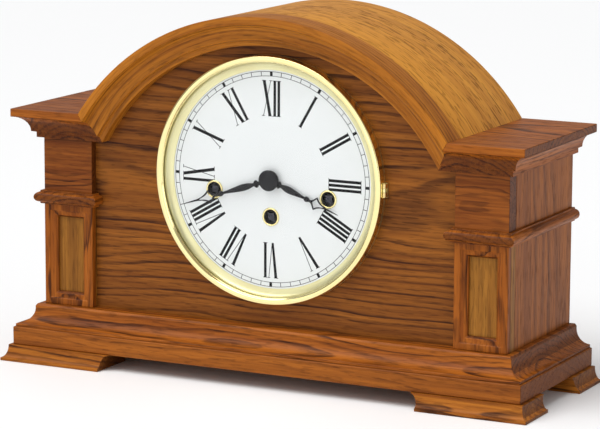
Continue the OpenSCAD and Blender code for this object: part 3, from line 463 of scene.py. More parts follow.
class Recipe:  # a Geometry Nodes tree with named inputs
    def __init__(self, name, inputs):
        self.tree = bpy.data.node_groups.new(name, "GeometryNodeTree")
        face = self.tree.interface
        face.new_socket(name="Geometry", in_out="INPUT", socket_type="NodeSocketGeometry")
        face.new_socket(name="Geometry", in_out="OUTPUT", socket_type="NodeSocketGeometry")
        for label, kind, value in inputs:
            face.new_socket(name=label, in_out="INPUT", socket_type="NodeSocket" + kind).default_value = value
        self.inlet = self.tree.nodes.new("NodeGroupInput")
        self.outlet = self.tree.nodes.new("NodeGroupOutput")

    def add(self, kind, settings=None, values=None):
        node = self.tree.nodes.new(kind)
        for key, value in (settings or {}).items():
            setattr(node, key, value)
        for key, value in (values or {}).items():
            if isinstance(value, bpy.types.NodeSocket):
                self.tree.links.new(value, node.inputs[key])
            else:
                node.inputs[key].default_value = value
        return node.outputs[0]

    def given(self, label):
        return self.inlet.outputs[label]

    def end(self, geometry, material):
        whole = self.add("GeometryNodeRealizeInstances", None, {0: geometry})
        coated = self.add("GeometryNodeSetMaterial", None, {"Geometry": whole, "Material": materials[material]})
        self.tree.links.new(coated, self.outlet.inputs[0])

    def grown(self, piece, **sizes):
        modifier = piece.modifiers.new("recipe", "NODES")
        modifier.node_group = self.tree
        for item in self.tree.interface.items_tree:
            if item.in_out == "INPUT" and item.name in sizes:
                modifier[item.identifier] = sizes[item.name]
        return settled(piece)


bodyOf = {node: body for body, nodes in frame["record"]["behaviour"]["bodies"].items() for node in nodes}
slotOf = {row["node"]: row["material_slot"] for row in frame["record"]["subparts"]}


def standsFor(piece, node, *others):  # the piece takes the node's body and hides it
    return finished(piece, bodyOf[node], slotOf[node], node, *others)


# Places read off the frame
hands = Vector(joints["minute_turn"]["pos_m"])
dialZ = hands.z
bezelPin = Vector(joints["bezel_hinge_turn"]["pos_m"])
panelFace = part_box("front_panel")[0].y
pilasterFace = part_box("pilaster_panels")[0].y - 5 * mm
roofLow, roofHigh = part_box("arch_roof")
roofHalf = roofHigh.x
roofRise = roofHigh.z - roofLow.z
archRadius = (roofHalf ** 2 + roofRise ** 2) / (2 * roofRise)
archZ = roofHigh.z - archRadius
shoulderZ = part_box("shoulder_boards")[1].z
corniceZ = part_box("cornice_mouldings")[0].z


def alongArch(co, face):  # grain that follows the bend, fainter on the narrow outer face
    angle = math.atan2(co.x, co.z - archZ)
    radius = math.hypot(co.x, co.z - archZ)
    outerFace = face.normal.y < -0.7 and radius > archRadius - 7 * mm
    return (angle * archRadius, co.y, radius - archRadius), False, 0.25 if outerFace else 1.0


# Oak boards and mouldings

def capGrain(size, centre):
    return "x" if size[1] > 60 * mm and abs(centre[0]) < 0.178 else "longest"


woodwork = {
    "bottom_board": {"oak": "caseOak", "grain": "x", "arris": 0.7, "tone": 0.45},
    "feet": {"oak": "footOak", "grain": "x", "arris": 0.6, "tone": 0.5},
    "base_moulding": {"oak": "mouldOak", "grain": "longest", "arris": 0.35, "tone": 0.45},
    "left_side_panel": {"oak": "caseOak", "grain": "z", "arris": 0.5, "tone": 0.5},
    "right_side_panel": {"oak": "caseOak", "grain": "z", "arris": 0.5, "tone": 0.5},
    "front_panel": {"oak": "panelOak", "grain": "x", "arris": 0, "tone": 0.4},
    "pilaster_panels": {"oak": "inlayOak", "grain": "z", "arris": 0, "tone": 0.4},
    "pilaster_frames": {"oak": "mouldOak", "grain": "longest", "arris": 0.3, "tone": 0.5},
    "upper_blocks": {"oak": "blockOak", "grain": "x", "arris": 0.5, "tone": 0.45},
    "waist_mouldings": {"oak": "mouldOak", "grain": "longest", "arris": 0.3, "tone": 0.5},
    "cornice_mouldings": {"oak": "mouldOak", "grain": "longest", "arris": 0.3, "tone": 0.4},
    "shoulder_boards": {"oak": "mouldOak", "grain": capGrain, "arris": 0.5, "tone": 0.6},
    "back_frame": {"oak": "plainOak", "grain": "x", "arris": 0.4, "tone": 0.5},
    "back_door": {"oak": "plainOak", "grain": "x", "arris": 0.6, "tone": 0.55},
}
for seed, (node, board) in enumerate(woodwork.items()):
    piece = copyOf(node)
    if board["arris"]:
        softened(piece, board["arris"] * mm)
    else:
        rounded(piece, 30.0)
    layGrain(coated(piece, board["oak"]), board["grain"], 11 + seed, tone=board["tone"])
    standsFor(piece, node)
print("boards dressed:", len(woodwork))

# Arch: a moulding profile swept along the bend, cut to its mitres; and the bent roof behind it
archMake = {"steps": 120, "sweepDegrees": 124.0, "board": 5.8, "cove": 11.2, "coveOut": 17.9, "out": 17.5,
            "filletOut": 3.8, "stepOut": 6.5, "stepDrop": 0.8, "arris": 0.5, "roofThick": 6.0, "roofArris": 0.8}
sweep = Recipe("sweptArch", [("Radius", "Float", 0.17), ("Steps", "Int", 96), ("Start", "Float", 0.5),
                             ("Sweep", "Float", 2.0)])
bend = sweep.add("GeometryNodeCurveArc", None, {
    "Resolution": sweep.given("Steps"), "Radius": sweep.given("Radius"),
    "Start Angle": sweep.given("Start"), "Sweep Angle": sweep.given("Sweep")})
outlineCurve = sweep.add("GeometryNodeMeshToCurve", None, {0: sweep.given("Geometry")})
swept = sweep.add("GeometryNodeCurveToMesh", None, {
    "Curve": bend, "Profile Curve": outlineCurve, "Fill Caps": True})
stood = sweep.add("GeometryNodeTransform", None, {"Geometry": swept, "Rotation": (math.pi / 2, 0, 0),
                                                  "Translation": (0, 0, archZ)})
sweep.end(stood, "archOak")


def sweptPiece(name, outline, cuts):  # outline: [depth under the outer surface, y]; cuts: (point, outward normal)
    mesh = bpy.data.meshes.new(name)
    edges = [(k, (k + 1) % len(outline)) for k in range(len(outline))]
    mesh.from_pydata([(-d, y, 0) for d, y in outline], edges, [])
    half = math.radians(archMake["sweepDegrees"]) / 2
    piece = sweep.grown(newPiece(name, mesh), Radius=archRadius, Steps=archMake["steps"],
                        Start=math.pi / 2 - half, Sweep=2 * half)
    work = bmesh.new()
    work.from_mesh(piece.data)
    bmesh.ops.remove_doubles(work, verts=work.verts, dist=1e-6)
    for point, normal in cuts:
        cut = bmesh.ops.bisect_plane(work, geom=work.verts[:] + work.edges[:] + work.faces[:], dist=1e-7,
                                     plane_co=point, plane_no=normal, clear_outer=True)
        rim = [e for e in cut["geom_cut"] if isinstance(e, bmesh.types.BMEdge)]
        bmesh.ops.contextual_create(work, geom=rim)
    bmesh.ops.recalc_face_normals(work, faces=work.faces)
    work.to_mesh(piece.data)
    work.free()
    return piece


def chord(radius, z):
    return math.sqrt(radius ** 2 - (z - archZ) ** 2)


corniceDrop = shoulderZ - corniceZ
mitreLow = (chord(archRadius - corniceDrop, corniceZ), corniceZ)
mitreTop = (chord(archRadius, shoulderZ), shoulderZ)
mitreRun = Vector((mitreTop[0] - mitreLow[0], 0, mitreTop[1] - mitreLow[1])).normalized()
mitreOut = Vector((mitreRun.z, 0, -mitreRun.x))
board, cove, arris = archMake["board"] * mm, archMake["cove"] * mm, archMake["arris"] * mm
coveDrop = board + cove
stepDrop = coveDrop + archMake["stepDrop"] * mm
fillet = pilasterFace - archMake["filletOut"] * mm
nose = pilasterFace - archMake["out"] * mm
noseTurn = arris * 1.6
profile = [(corniceDrop, panelFace), (corniceDrop, fillet + arris),
           (corniceDrop - arris * 0.3, fillet + arris * 0.3), (corniceDrop - arris, fillet),
           (stepDrop + arris * 0.6, fillet),
           (stepDrop, fillet - arris * 0.5), (coveDrop + 0.2 * mm, pilasterFace - archMake["stepOut"] * mm)]
profile += [(coveDrop - up, pilasterFace - out) for out, up in
            arcOf((archMake["coveOut"] * mm, 0.0), cove, cove, 180, 95, 18)]
profile += [(board - 0.2 * mm, nose + 0.1 * mm), (board - 0.6 * mm, nose)]
profile += [(noseTurn - noseTurn * math.sin(math.radians(a)),
             nose + noseTurn - noseTurn * math.cos(math.radians(a))) for a in (0, 22, 45, 68, 90)]
profile += [(0.0, panelFace)]
arch = sweptPiece("arch_moulding_piece", profile, [
    (Vector((mitreLow[0], 0, mitreLow[1])), mitreOut),
    (Vector((-mitreLow[0], 0, mitreLow[1])), Vector((-mitreOut.x, 0, mitreOut.z)))])
rounded(arch, 28.0)
layGrain(arch, lambda size, centre: alongArch, 41, tone=0.5, endDark=False)
standsFor(arch, "arch_moulding")

backY = roofHigh.y
roofThick, rear, rearMiddle = archMake["roofThick"] * mm, archMake["roofArris"] * mm, 0.23 * mm
roof = sweptPiece("arch_roof_piece", [(0.0, panelFace), (roofThick, panelFace), (roofThick, backY), (rear, backY),
                                      (rearMiddle, backY - rearMiddle), (0.0, backY - rear)],
                  [(Vector((0, 0, roofLow.z)), Vector((0, 0, -1)))])
# The roof takes the lightened oak: its own grain with painted top light.
rounded(coated(roof, "roofOakPaintedLight"), 28.0)
layGrain(roof, lambda size, centre: alongArch, 43, tone=0.6, spread=0.0, endDark=False)
standsFor(roof, "arch_roof")
print("arch swept")

# Bezel: the polished ring with its hinge eye, the domed glass, and the base ring that frames the dial
bezelMake = {"outer": 88.0, "sight": 77.5, "crest": 9.0, "crestWide": 4.0, "edge": 1.2, "wall": 3.4, "lip": 1.5,
             "seat": 2.0, "glassUnder": 5.0, "glassThick": 1.5, "glassRise": 3.4, "eye": 1.5, "eyeHalf": 1.2,
             "notch": 5.3, "notchGap": 0.4, "tabHalf": 5.0, "steps": 240}
outer, sight, crest, crestWide, edge, seat, eye, glassUnder, glassRise = (bezelMake[k] for k in (
    "outer", "sight", "crest", "crestWide", "edge", "seat", "eye", "glassUnder", "glassRise"))
glassUp = glassUnder + bezelMake["glassThick"]
inside = outer - bezelMake["wall"]
lipEdge, lipUnder = inside - bezelMake["lip"], glassUp + 0.05


def fromPanel(points):  # [radius, height above the panel] in millimetres to [radius, y]
    return [(r * mm, panelFace - h * mm) for r, h in points]


def withShape(piece, kind, low, high, radius=0.0):  # joins a round bar up the hinge's axis, or a block, to a piece
    work = bmesh.new()
    work.from_mesh(piece.data)
    middle = (Vector(low) + Vector(high)) / 2
    size = Vector(high) - Vector(low)
    if kind == "bar":
        made = bmesh.ops.create_cone(work, cap_ends=True, segments=32, radius1=radius, radius2=radius, depth=size.z,
                                     matrix=Matrix.Translation(middle))
    else:
        made = bmesh.ops.create_cube(work, size=1.0, matrix=Matrix.LocRotScale(middle, None, size))
    edges = list({e for v in made["verts"] for e in v.link_edges
                  if kind != "bar" or abs(e.verts[0].co.z - e.verts[1].co.z) < 1e-6})
    bmesh.ops.bevel(work, geom=edges, offset=0.12 * mm, segments=2, affect="EDGES")
    work.to_mesh(piece.data)
    work.free()


ringOutline = [(outer, seat + 0.1), (outer, 5.0)]
ringOutline += arcOf((outer - edge, crest - 0.2 - edge), edge, edge, 0, 75, 8)
ringOutline += [(outer - crestWide / 2, crest), (outer - crestWide + 0.25, crest - 0.12),
                (outer - crestWide, crest - 0.35), (lipEdge + 0.15, lipUnder + 0.75), (lipEdge, lipUnder + 0.5),
                (lipEdge, lipUnder), (inside, lipUnder), (inside, seat + 0.1)]
ring = lathe("bezel_ring_piece", fromPanel(ringOutline), (0, dialZ), bezelMake["steps"], "bezelBrass")
notch = newPiece("notch", bpy.data.meshes.new("notch"))
withShape(notch, "bar", (bezelPin.x, bezelPin.y, dialZ - bezelMake["notch"] * mm),
          (bezelPin.x, bezelPin.y, dialZ + bezelMake["notch"] * mm), (eye + bezelMake["notchGap"]) * mm)
cut = ring.modifiers.new("notch", "BOOLEAN")
cut.operation, cut.solver, cut.object = "DIFFERENCE", "EXACT", notch
settled(ring)
bpy.data.objects.remove(notch)
eyeLow, eyeHigh = dialZ - bezelMake["eyeHalf"] * mm, dialZ + bezelMake["eyeHalf"] * mm
withShape(ring, "bar", (bezelPin.x, bezelPin.y, eyeLow), (bezelPin.x, bezelPin.y, eyeHigh), eye * mm)
withShape(ring, "block", ((inside + 1.0) * mm, bezelPin.y - 0.6 * mm, eyeLow),
          (bezelPin.x, bezelPin.y + 0.6 * mm, eyeHigh))
standsFor(rounded(ring, 40.0), "bezel_ring")

glassOuter = inside - 0.2
glassFlat = glassOuter - 2.3
glassCurve = (glassFlat ** 2 + glassRise ** 2) / (2 * glassRise)


def dome(r):
    return math.sqrt(glassCurve ** 2 - r ** 2) - (glassCurve - glassRise)


radii = [glassFlat * k / 24 for k in range(25)]
outline = [(r, glassUnder + dome(r)) for r in radii] + [(glassOuter, glassUnder), (glassOuter, glassUp)]
outline += [(r, glassUp + dome(r)) for r in reversed(radii)]
glass = lathe("bezel_glass_piece", fromPanel(outline), (0, dialZ), 144, "dialGlass", closed=False)
standsFor(rounded(glass, 40.0), "bezel_glass")

rim, rimTop = inside - 0.7, glassUnder - 0.3
seatOutline = [(outer, 0.0), (outer, seat), (rim, seat), (rim, rimTop - 0.15), (rim - 0.15, rimTop)]
seatOutline += arcOf((sight, rimTop), rim - 0.8 - sight, rimTop - 1.5, 360, 270, 20)
seatOutline += [(sight, 1.0), (sight + 2.1, 1.0), (sight + 2.1, 0.0)]
base = lathe("bezel_seat_piece", fromPanel(seatOutline), (0, dialZ), bezelMake["steps"], "seatBrass")
withShape(base, "block", ((outer - 2.0) * mm, panelFace - seat * mm, dialZ - bezelMake["tabHalf"] * mm),
          (bezelPin.x + eye * mm, panelFace, dialZ + bezelMake["tabHalf"] * mm))
standsFor(rounded(base, 40.0), "bezel_seat")

# Dial: the white plate, its printed rings and numerals, and the minute ticks
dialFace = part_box("dial_plate")[0].y
dial = copyOf("dial_plate")
standsFor(rounded(coated(dial, "dialWhite"), 30.0), "dial_plate")

printMake = {"inner": 44.8, "outer": 70.0, "stroke": 2.0, "hair": 0.42, "serif": 0.42, "gap": 1.15,
             "ringInner": 73.1, "ringOuter": 76.2, "ringLine": 0.34, "lift": 0.06, "sink": 0.02}
letterWidth = {"I": 2.0, "V": 7.4, "X": 7.4}


def numeral(work, text, hour):  # letters stand feet inwards, strokes and serifs as thin prisms
    turn = Matrix.Rotation(math.radians(30 * hour), 3, "Y")
    low, high = printMake["inner"], printMake["outer"]
    gaps = [printMake["gap"] if a == "I" and b == "I" else 1.3 for a, b in zip(text, text[1:])]
    width = sum(letterWidth[c] for c in text) + sum(gaps)
    at = -width / 2
    serif, stroke, hair = printMake["serif"], printMake["stroke"], printMake["hair"]
    foot, top = low + serif * 0.5, high - serif * 0.5

    def put(points, lift):
        corners = []
        for x, r in points:
            v = turn @ Vector((x * mm, 0, r * mm))
            corners.append((v.x, v.z + dialZ))
        prism(work, corners, dialFace - lift * mm, dialFace + printMake["sink"] * mm)
    level = printMake["lift"]
    for k, letter in enumerate(text):
        wide = letterWidth[letter]
        left, right = at, at + wide
        if letter == "I":
            put([(left, foot), (right, foot), (right, top), (left, top)], level)
            feet = heads = [(left - 0.62, right + 0.62)]
        elif letter == "V":
            mid = (left + right) / 2
            thin = mid + stroke * 0.2
            put([(left + 0.2, top), (left + 0.3 + stroke * 1.05, top), (mid + stroke * 0.52, low),
                 (mid - stroke * 0.3, low)], level)
            put([(thin, low), (thin + hair * 1.1, low), (right - 0.35, top), (right - 0.35 - hair, top)],
                level * 0.9)
            feet = []
            heads = [(left - 0.55, left + stroke + 1.0), (right - 1.6, right + 0.45)]
        else:
            put([(left + 0.25, top), (left + 0.3 + stroke * 1.1, top), (right - 0.25, foot),
                 (right - 0.3 - stroke * 1.1, foot)], level)
            put([(left + 0.7, foot), (left + 0.7 + hair, foot), (right - 0.7, top),
                 (right - 0.7 - hair, top)], level * 0.9)
            feet = [(left - 0.4, left + 1.9), (right - stroke - 0.9, right + 0.5)]
            heads = [(left - 0.5, left + stroke + 0.9), (right - 1.9, right + 0.4)]
        for a, b in feet:
            put([(a, low), (b, low), (b, low + serif), (a, low + serif)], level * 0.8)
        for a, b in heads:
            put([(a, high - serif), (b, high - serif), (b, high), (a, high)], level * 0.8)
        at = right + (gaps[k] if k < len(gaps) else 0)


work = bmesh.new()
for hour, text in enumerate(["I", "II", "III", "IIII", "V", "VI", "VII", "VIII", "IX", "X", "XI", "XII"], start=1):
    numeral(work, text, hour)
bmesh.ops.recalc_face_normals(work, faces=work.faces)
finished(newPiece("dial_numerals", meshOf(work, "dial_numerals"), "dialInk"), "case", "hand_black")

lines = bmesh.new()
for radius in (printMake["ringInner"], printMake["ringOuter"]):
    wide = printMake["ringLine"] / 2
    flat = [(radius - wide, printMake["lift"]), (radius + wide, printMake["lift"]),
            (radius + wide, -printMake["sink"]), (radius - wide, -printMake["sink"])]
    loop = lathe("line", [(r * mm, dialFace - h * mm) for r, h in flat], (0, dialZ), 240, "dialInk")
    lines.from_mesh(loop.data)
    bpy.data.objects.remove(loop)
finished(newPiece("minute_rings", meshOf(lines, "minute_rings"), "dialInk"), "case", "hand_black")

ticks = Recipe("ticksRoundADial", [("Count", "Int", 60), ("Radius", "Float", 0.07), ("Length", "Float", 0.003),
                                   ("Width", "Float", 0.0004), ("Height", "Float", 0.00008)])
tickSize = ticks.add("ShaderNodeCombineXYZ", None, {
    "X": ticks.given("Length"), "Y": ticks.given("Width"), "Z": ticks.given("Height")})
tick = ticks.add("GeometryNodeMeshCube", None, {"Size": tickSize})
around = ticks.add("GeometryNodeMeshCircle", None, {
    "Vertices": ticks.given("Count"), "Radius": ticks.given("Radius")})
where = ticks.add("GeometryNodeInputPosition")
facing = ticks.add("FunctionNodeAlignRotationToVector", {"axis": "X"}, {"Vector": where})
spread = ticks.add("GeometryNodeInstanceOnPoints", None, {
    "Points": around, "Instance": tick, "Rotation": facing})
upright = ticks.add("GeometryNodeTransform", None, {"Geometry": spread, "Rotation": (math.pi / 2, 0, 0)})
ticks.end(upright, "dialInk")
trackRadius = (printMake["ringInner"] + printMake["ringOuter"]) / 2
tickRows = (("minute_ticks", 60, 0.42, 3.1, 0.10), ("hour_ticks", 12, 2.0, 3.3, 0.13))
for name, count, width, length, height in tickRows:
    track = ticks.grown(newPiece(name, bpy.data.meshes.new(name)), Count=count, Radius=trackRadius * mm,
                        Length=length * mm, Width=width * mm, Height=height * mm)
    track.data.transform(Matrix.Translation((0, dialFace, dialZ)))
    finished(track, "case", "hand_black")
print("dial printed")

# Winding grommets: three rolled brass eyelets
grommets = bmesh.new()
eyelet = {"bore": 5.2, "rim": 6.5, "shank": 5.7, "roll": 0.65, "rollTall": 0.45, "edge": 0.55}
eyeletProfile = [(eyelet["bore"], panelFace + 0.4 * mm), (eyelet["bore"], dialFace - eyelet["edge"] * mm)]
eyeletProfile += [(eyelet["bore"] + eyelet["roll"] * (1 - math.cos(math.radians(a))),
                   dialFace - (eyelet["edge"] + eyelet["rollTall"] * math.sin(math.radians(a))) * mm)
                  for a in range(15, 166, 15)]
eyeletProfile += [(eyelet["rim"], dialFace - 0.35 * mm), (eyelet["rim"] - 0.05, dialFace - 0.01 * mm),
                  (eyelet["shank"], dialFace), (eyelet["shank"], panelFace + 0.4 * mm)]
for key in ("time_winding", "strike_winding", "chime_winding"):
    x, _, z = joints[key]["pos_m"]
    turned = lathe("eyelet", [(r * mm, y) for r, y in eyeletProfile], (x, z), 72, "bezelBrass")
    grommets.from_mesh(turned.data)
    bpy.data.objects.remove(turned)
eyelets = newPiece("winding_grommets_piece", meshOf(grommets, "winding_grommets_piece"), "bezelBrass")
standsFor(rounded(eyelets, 40.0), "winding_grommets")

# Hands: collar, leaf, open diamond and long point, cut flat with softened edges
handSteps = [
    (0.06, 0.020), (0.115, 0.017), (0.122, 0.030), (0.132, 0.036), (0.145, 0.036), (0.156, 0.027), (0.166, 0.014),
    (0.2, 0.022), (0.235, 0.030), (0.284, 0.033), (0.33, 0.030), (0.4, 0.022), (0.46, 0.015), (0.507, 0.011),
    (0.518, 0.020), (0.532, 0.026), (0.548, 0.026), (0.566, 0.019), (0.584, 0.011), (0.603, 0.013),
    (0.62, 0.022), (0.638, 0.036), (0.655, 0.054), (0.67, 0.066), (0.684, 0.056), (0.702, 0.042), (0.725, 0.030),
    (0.76, 0.017), (0.80, 0.010), (0.85, 0.0075), (0.93, 0.005), (1.0, 0.0015)]
handOpening = [(0.628, 0.002), (0.645, 0.022), (0.66, 0.038), (0.67, 0.046), (0.682, 0.037), (0.702, 0.024),
               (0.73, 0.014), (0.784, 0.001)]
handMake = {"minute": {"length": 74.0, "wide": 1.0, "boss": 5.5, "angle": 252.0},
            "hour": {"length": 57.0, "wide": 1.3, "boss": 7.0, "angle": 111.0}}


def cutHand(kind, node):
    make = handMake[kind]
    low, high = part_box(node)
    length, wide = make["length"], make["wide"]
    bite = 0.12 * mm
    curve = bpy.data.curves.new(node, "CURVE")
    curve.dimensions = "2D"
    curve.fill_mode = "BOTH"
    curve.extrude = (high.y - low.y) / 2 - bite
    curve.bevel_depth = bite
    curve.bevel_resolution = 2
    curve.offset = -bite
    startAngle = math.degrees(math.asin(min(1.0, 0.020 * length * wide / make["boss"])))
    bossArc = [(make["boss"] * math.sin(math.radians(a)), make["boss"] * math.cos(math.radians(a)))
               for a in [startAngle + (360 - 2 * startAngle) * k / 40 for k in range(41)]]
    steps = [(w * length * wide, r * length) for r, w in handSteps if r * length > make["boss"] * 1.02]
    outline = bossArc + [(-w, r) for w, r in steps] + [(w, r) for w, r in reversed(steps)]
    opening = [(-w * length * wide, r * length) for r, w in handOpening]
    opening += [(w * length * wide, r * length) for r, w in reversed(handOpening)]
    for points in (outline, opening):
        spline = curve.splines.new("POLY")
        spline.points.add(len(points) - 1)
        for point, (x, z) in zip(spline.points, points):
            point.co = (x * mm, z * mm, 0, 1)
        spline.use_cyclic_u = True
    drawn = bpy.data.objects.new(node + "_curve", curve)
    bpy.context.scene.collection.objects.link(drawn)
    graph = bpy.context.evaluated_depsgraph_get()
    mesh = bpy.data.meshes.new_from_object(drawn.evaluated_get(graph), depsgraph=graph)
    bpy.data.objects.remove(drawn)
    work = bmesh.new()
    work.from_mesh(mesh)
    bmesh.ops.remove_doubles(work, verts=work.verts, dist=1e-7)
    place = Matrix.Translation((0, (low.y + high.y) / 2, dialZ))
    place = place @ Matrix.Rotation(math.radians(make["angle"]), 4, "Y") @ Matrix.Rotation(math.pi / 2, 4, "X")
    bmesh.ops.transform(work, matrix=place, verts=work.verts)
    bmesh.ops.recalc_face_normals(work, faces=work.faces)
    work.to_mesh(mesh)
    work.free()
    piece = newPiece(node + "_piece", mesh, "handBlack")
    return standsFor(rounded(piece, 35.0), node)


cutHand("minute", "minute_hand")
cutHand("hour", "hour_hand")
capLow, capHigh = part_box("hand_nut")
capMake = {"bore": 1.25, "base": 7.25, "radius": 7.4, "wall": 0.45, "dome": 1.83}
capWide, capWall = capMake["radius"] * mm, capHigh.y - capMake["wall"] * mm
capOutline = [(capMake["bore"] * mm, capHigh.y), (capMake["base"] * mm, capHigh.y),
              (capWide, capHigh.y - 0.12 * mm), (capWide, capHigh.y - 0.4 * mm)]
capOutline += [(capWide * math.cos(math.radians(a)), capWall - capMake["dome"] * mm * math.sin(math.radians(a)))
               for a in range(8, 89, 8)]
capOutline += [(0.0, capLow.y)]
cap = lathe("hand_cap", capOutline, (0, dialZ), 96, "handBlack", closed=False)
work = bmesh.new()
work.from_mesh(cap.data)
bmesh.ops.holes_fill(work, edges=work.edges, sides=0)
bmesh.ops.recalc_face_normals(work, faces=work.faces)
work.to_mesh(cap.data)
work.free()
standsFor(rounded(cap, 45.0), "hand_nut")
print("hands cut")

# Movement: the turned and cut metal pieces, each a clean copy of its solid
metal = {
    "hingeBrass": ["bezel_hinge", "door_hinges", "door_hinge_leaves", "door_knob"],
    "plateBrass": ["front_plate", "back_plate", "plate_pillars", "time_barrel", "strike_barrel", "chime_barrel",
                   "minute_wheel", "hour_wheel", "third_wheel", "escape_wheel", "balance", "balance_bridge",
                   "strike_wheel", "chime_drum"],
    # The winding arbors and their ratchets take the near-black steel, which is painted shade for the depth of the
    # winding holes.
    "arborSteel": ["time_winding_arbor", "strike_winding_arbor", "chime_winding_arbor"],
    "wheelSteel": ["pillar_nuts", "time_click", "strike_click", "chime_click", "centre_arbor", "pallet_lever",
                   "strike_fly", "chime_fly", "hammer_1", "hammer_2", "hammer_3", "hammer_4"],
    "blockIron": ["gong_block"],
}
for finish, nodes in metal.items():
    for node in nodes:
        standsFor(rounded(coated(copyOf(node), finish), 30.0), node)

# Screws: slotted heads on their shanks, one recipe for all four
screwMake = {"spots": [(-60, 46), (60, 46), (-60, -54), (60, -54)], "head": 3.0, "headTall": 1.7, "shank": 1.35,
             "slot": 0.7}
screwLow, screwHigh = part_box("movement_screws")
screws = Recipe("slottedScrews", [("Head Radius", "Float", 0.003), ("Head Height", "Float", 0.0018),
                                  ("Shank Radius", "Float", 0.0014), ("Shank Length", "Float", 0.007),
                                  ("Slot", "Float", 0.0007)])
headTall, shankLong = screws.given("Head Height"), screws.given("Shank Length")


def worked(operation, first, second):  # a Math node in the screws' recipe
    return screws.add("ShaderNodeMath", {"operation": operation}, {0: first, 1: second})


head = screws.add("GeometryNodeMeshCylinder", None, {
    "Vertices": 40, "Radius": screws.given("Head Radius"), "Depth": headTall})
slotSize = screws.add("ShaderNodeCombineXYZ", None, {"X": screws.given("Slot"), "Y": 0.02, "Z": headTall})
slotBar = screws.add("GeometryNodeMeshCube", None, {"Size": slotSize})
slotUp = screws.add("ShaderNodeCombineXYZ", None, {"Z": worked("MULTIPLY", headTall, 0.6)})
slotSet = screws.add("GeometryNodeTransform", None, {
    "Geometry": slotBar, "Translation": slotUp, "Rotation": (0, 0, 0.5)})
slotted = screws.add("GeometryNodeMeshBoolean", {"operation": "DIFFERENCE", "solver": "EXACT"}, {
    "Mesh 1": head, "Mesh 2": slotSet})
shank = screws.add("GeometryNodeMeshCylinder", None, {
    "Vertices": 24, "Radius": screws.given("Shank Radius"), "Depth": shankLong})
halfway = worked("MULTIPLY", worked("ADD", shankLong, headTall), -0.4999)
shankUp = screws.add("ShaderNodeCombineXYZ", None, {"Z": halfway})
shankSet = screws.add("GeometryNodeTransform", None, {"Geometry": shank, "Translation": shankUp})
joined = screws.tree.nodes.new("GeometryNodeJoinGeometry")
screws.tree.links.new(slotted, joined.inputs[0])
screws.tree.links.new(shankSet, joined.inputs[0])
setScrews = screws.add("GeometryNodeInstanceOnPoints", None, {
    "Points": screws.given("Geometry"), "Instance": joined.outputs[0], "Rotation": (-math.pi / 2, 0, 0)})
screws.end(setScrews, "wheelSteel")
tall = screwMake["headTall"] * mm
mesh = bpy.data.meshes.new("movement_screws_piece")
mesh.from_pydata([(x * mm, screwHigh.y - tall / 2, dialZ + z * mm) for x, z in screwMake["spots"]], [], [])
held = screws.grown(newPiece("movement_screws_piece", mesh), **{
    "Head Radius": screwMake["head"] * mm, "Head Height": tall, "Shank Radius": screwMake["shank"] * mm,
    "Shank Length": screwHigh.y - screwLow.y - tall, "Slot": screwMake["slot"] * mm})
standsFor(rounded(held, 30.0), "movement_screws")

# Chime rods: round bar drawn along each rod's line, tuned by length
rodMake = {"count": 4, "longest": 206, "shorter": 12}
rods = Recipe("barsAlongLines", [("Radius", "Float", 0.0015)])
rodLine = rods.add("GeometryNodeMeshToCurve", None, {0: rods.given("Geometry")})
rodRound = rods.add("GeometryNodeCurvePrimitiveCircle", None, {"Resolution": 24, "Radius": rods.given("Radius")})
rodBar = rods.add("GeometryNodeCurveToMesh", None, {"Curve": rodLine, "Profile Curve": rodRound, "Fill Caps": True})
rods.end(rodBar, "rodSteel")
rodLow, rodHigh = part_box("chime_rods")
rodRadius = (rodHigh.z - rodLow.z) / 2
rodZ = (rodLow.z + rodHigh.z) / 2
points, edges = [], []
for i in range(rodMake["count"]):
    y = rodLow.y + rodRadius + i * (rodHigh.y - rodLow.y - 2 * rodRadius) / (rodMake["count"] - 1)
    root, tip = rodHigh.x, rodHigh.x - (rodMake["longest"] - rodMake["shorter"] * i) * mm
    edges += [(len(points) + k, len(points) + k + 1) for k in range(2)]
    points += [(x, y, rodZ) for x in (root, (root + tip) / 2, tip)]
mesh = bpy.data.meshes.new("chime_rods_piece")
mesh.from_pydata(points, edges, [])
bars = rods.grown(newPiece("chime_rods_piece", mesh), Radius=rodRadius)
standsFor(rounded(bars, 40.0), "chime_rods")
print("movement dressed")

# Stage: a pale floor, soft lights, and the camera
floorMesh = bpy.data.meshes.new("floor")
floorMesh.from_pydata([(-6, -6, -0.0002), (6, -6, -0.0002), (6, 6, -0.0002), (-6, 6, -0.0002)], [], [(0, 1, 2, 3)])
pale = Finish("paleFloor")
grain = pale.noise(pale.spot(), 3.0)
paleTone = pale.blend(grain * 0.2, (0.93, 0.93, 0.93), (0.89, 0.89, 0.90))
materials["paleFloor"] = pale.close({"Base Color": paleTone}, Roughness=0.6)
newPiece("floor", floorMesh, "paleFloor")

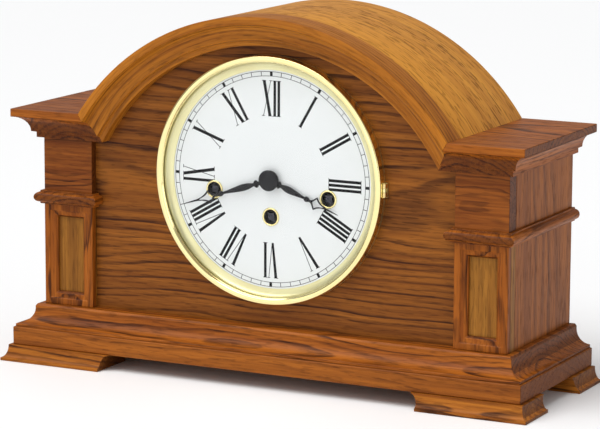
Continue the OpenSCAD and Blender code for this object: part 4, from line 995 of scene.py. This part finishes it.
world = bpy.data.worlds.new("studio")
bpy.context.scene.world = world
world.use_nodes = True
sky = world.node_tree
seen, room = sky.nodes.new("ShaderNodeBackground"), sky.nodes["Background"]
seen.inputs["Color"].default_value = (1.0, 1.0, 1.0, 1.0)  # what lies behind is plain white
room.inputs["Color"].default_value = (0.98, 0.99, 1.0, 1.0)  # and the room itself is dimmer
room.inputs["Strength"].default_value = 0.4
ray = sky.nodes.new("ShaderNodeLightPath")
either = sky.nodes.new("ShaderNodeMixShader")
for k, source in enumerate((ray.outputs["Is Camera Ray"], room.outputs[0], seen.outputs[0])):
    sky.links.new(source, either.inputs[k])
sky.links.new(either.outputs[0], sky.nodes["World Output"].inputs["Surface"])

middle = Vector((0.0, 0.0, 0.12))


def lamp(name, kind, place, power, **shape):
    data = bpy.data.lights.new(name, kind)
    data.energy = power
    for key, value in shape.items():
        setattr(data, key, value)
    light = bpy.data.objects.new(name, data)
    light.location = place
    light.rotation_euler = (middle - Vector(place)).to_track_quat("-Z", "Y").to_euler()
    bpy.context.scene.collection.objects.link(light)


lamp("front", "AREA", (-0.5, -2.4, 0.5), 16, shape="RECTANGLE", size=2.6, size_y=2.2)
lamp("fill", "AREA", (2.0, -0.6, 0.7), 6, size=1.2)
lamp("top", "SUN", (-0.5, -0.8, 2.0), 2.5, angle=math.radians(50))

aim = Vector((-0.00385, 0.0127, 0.11208))
view = {"azimuth": 26.68, "elevation": 10.24, "roll": 0.25, "distance": 2.116, "lens": 176.9}
azimuth, elevation = math.radians(view["azimuth"]), math.radians(view["elevation"])
level = math.cos(elevation)
back = Vector((math.sin(azimuth) * level, -math.cos(azimuth) * level, math.sin(elevation)))
camera = bpy.data.objects.new("camera", bpy.data.cameras.new("camera"))
bpy.context.scene.collection.objects.link(camera)
camera.data.lens = view["lens"]
camera.data.sensor_width = 36.0
camera.data.clip_start, camera.data.clip_end = 0.05, 50.0
camera.location = aim + back * view["distance"]
facingIt = (-back).to_track_quat("-Z", "Y").to_matrix()
camera.rotation_euler = (facingIt @ Matrix.Rotation(math.radians(view["roll"]), 3, "Z")).to_euler()
bpy.context.scene.camera = camera
bpy.context.scene.view_settings.view_transform = "Standard"

print("stage set")
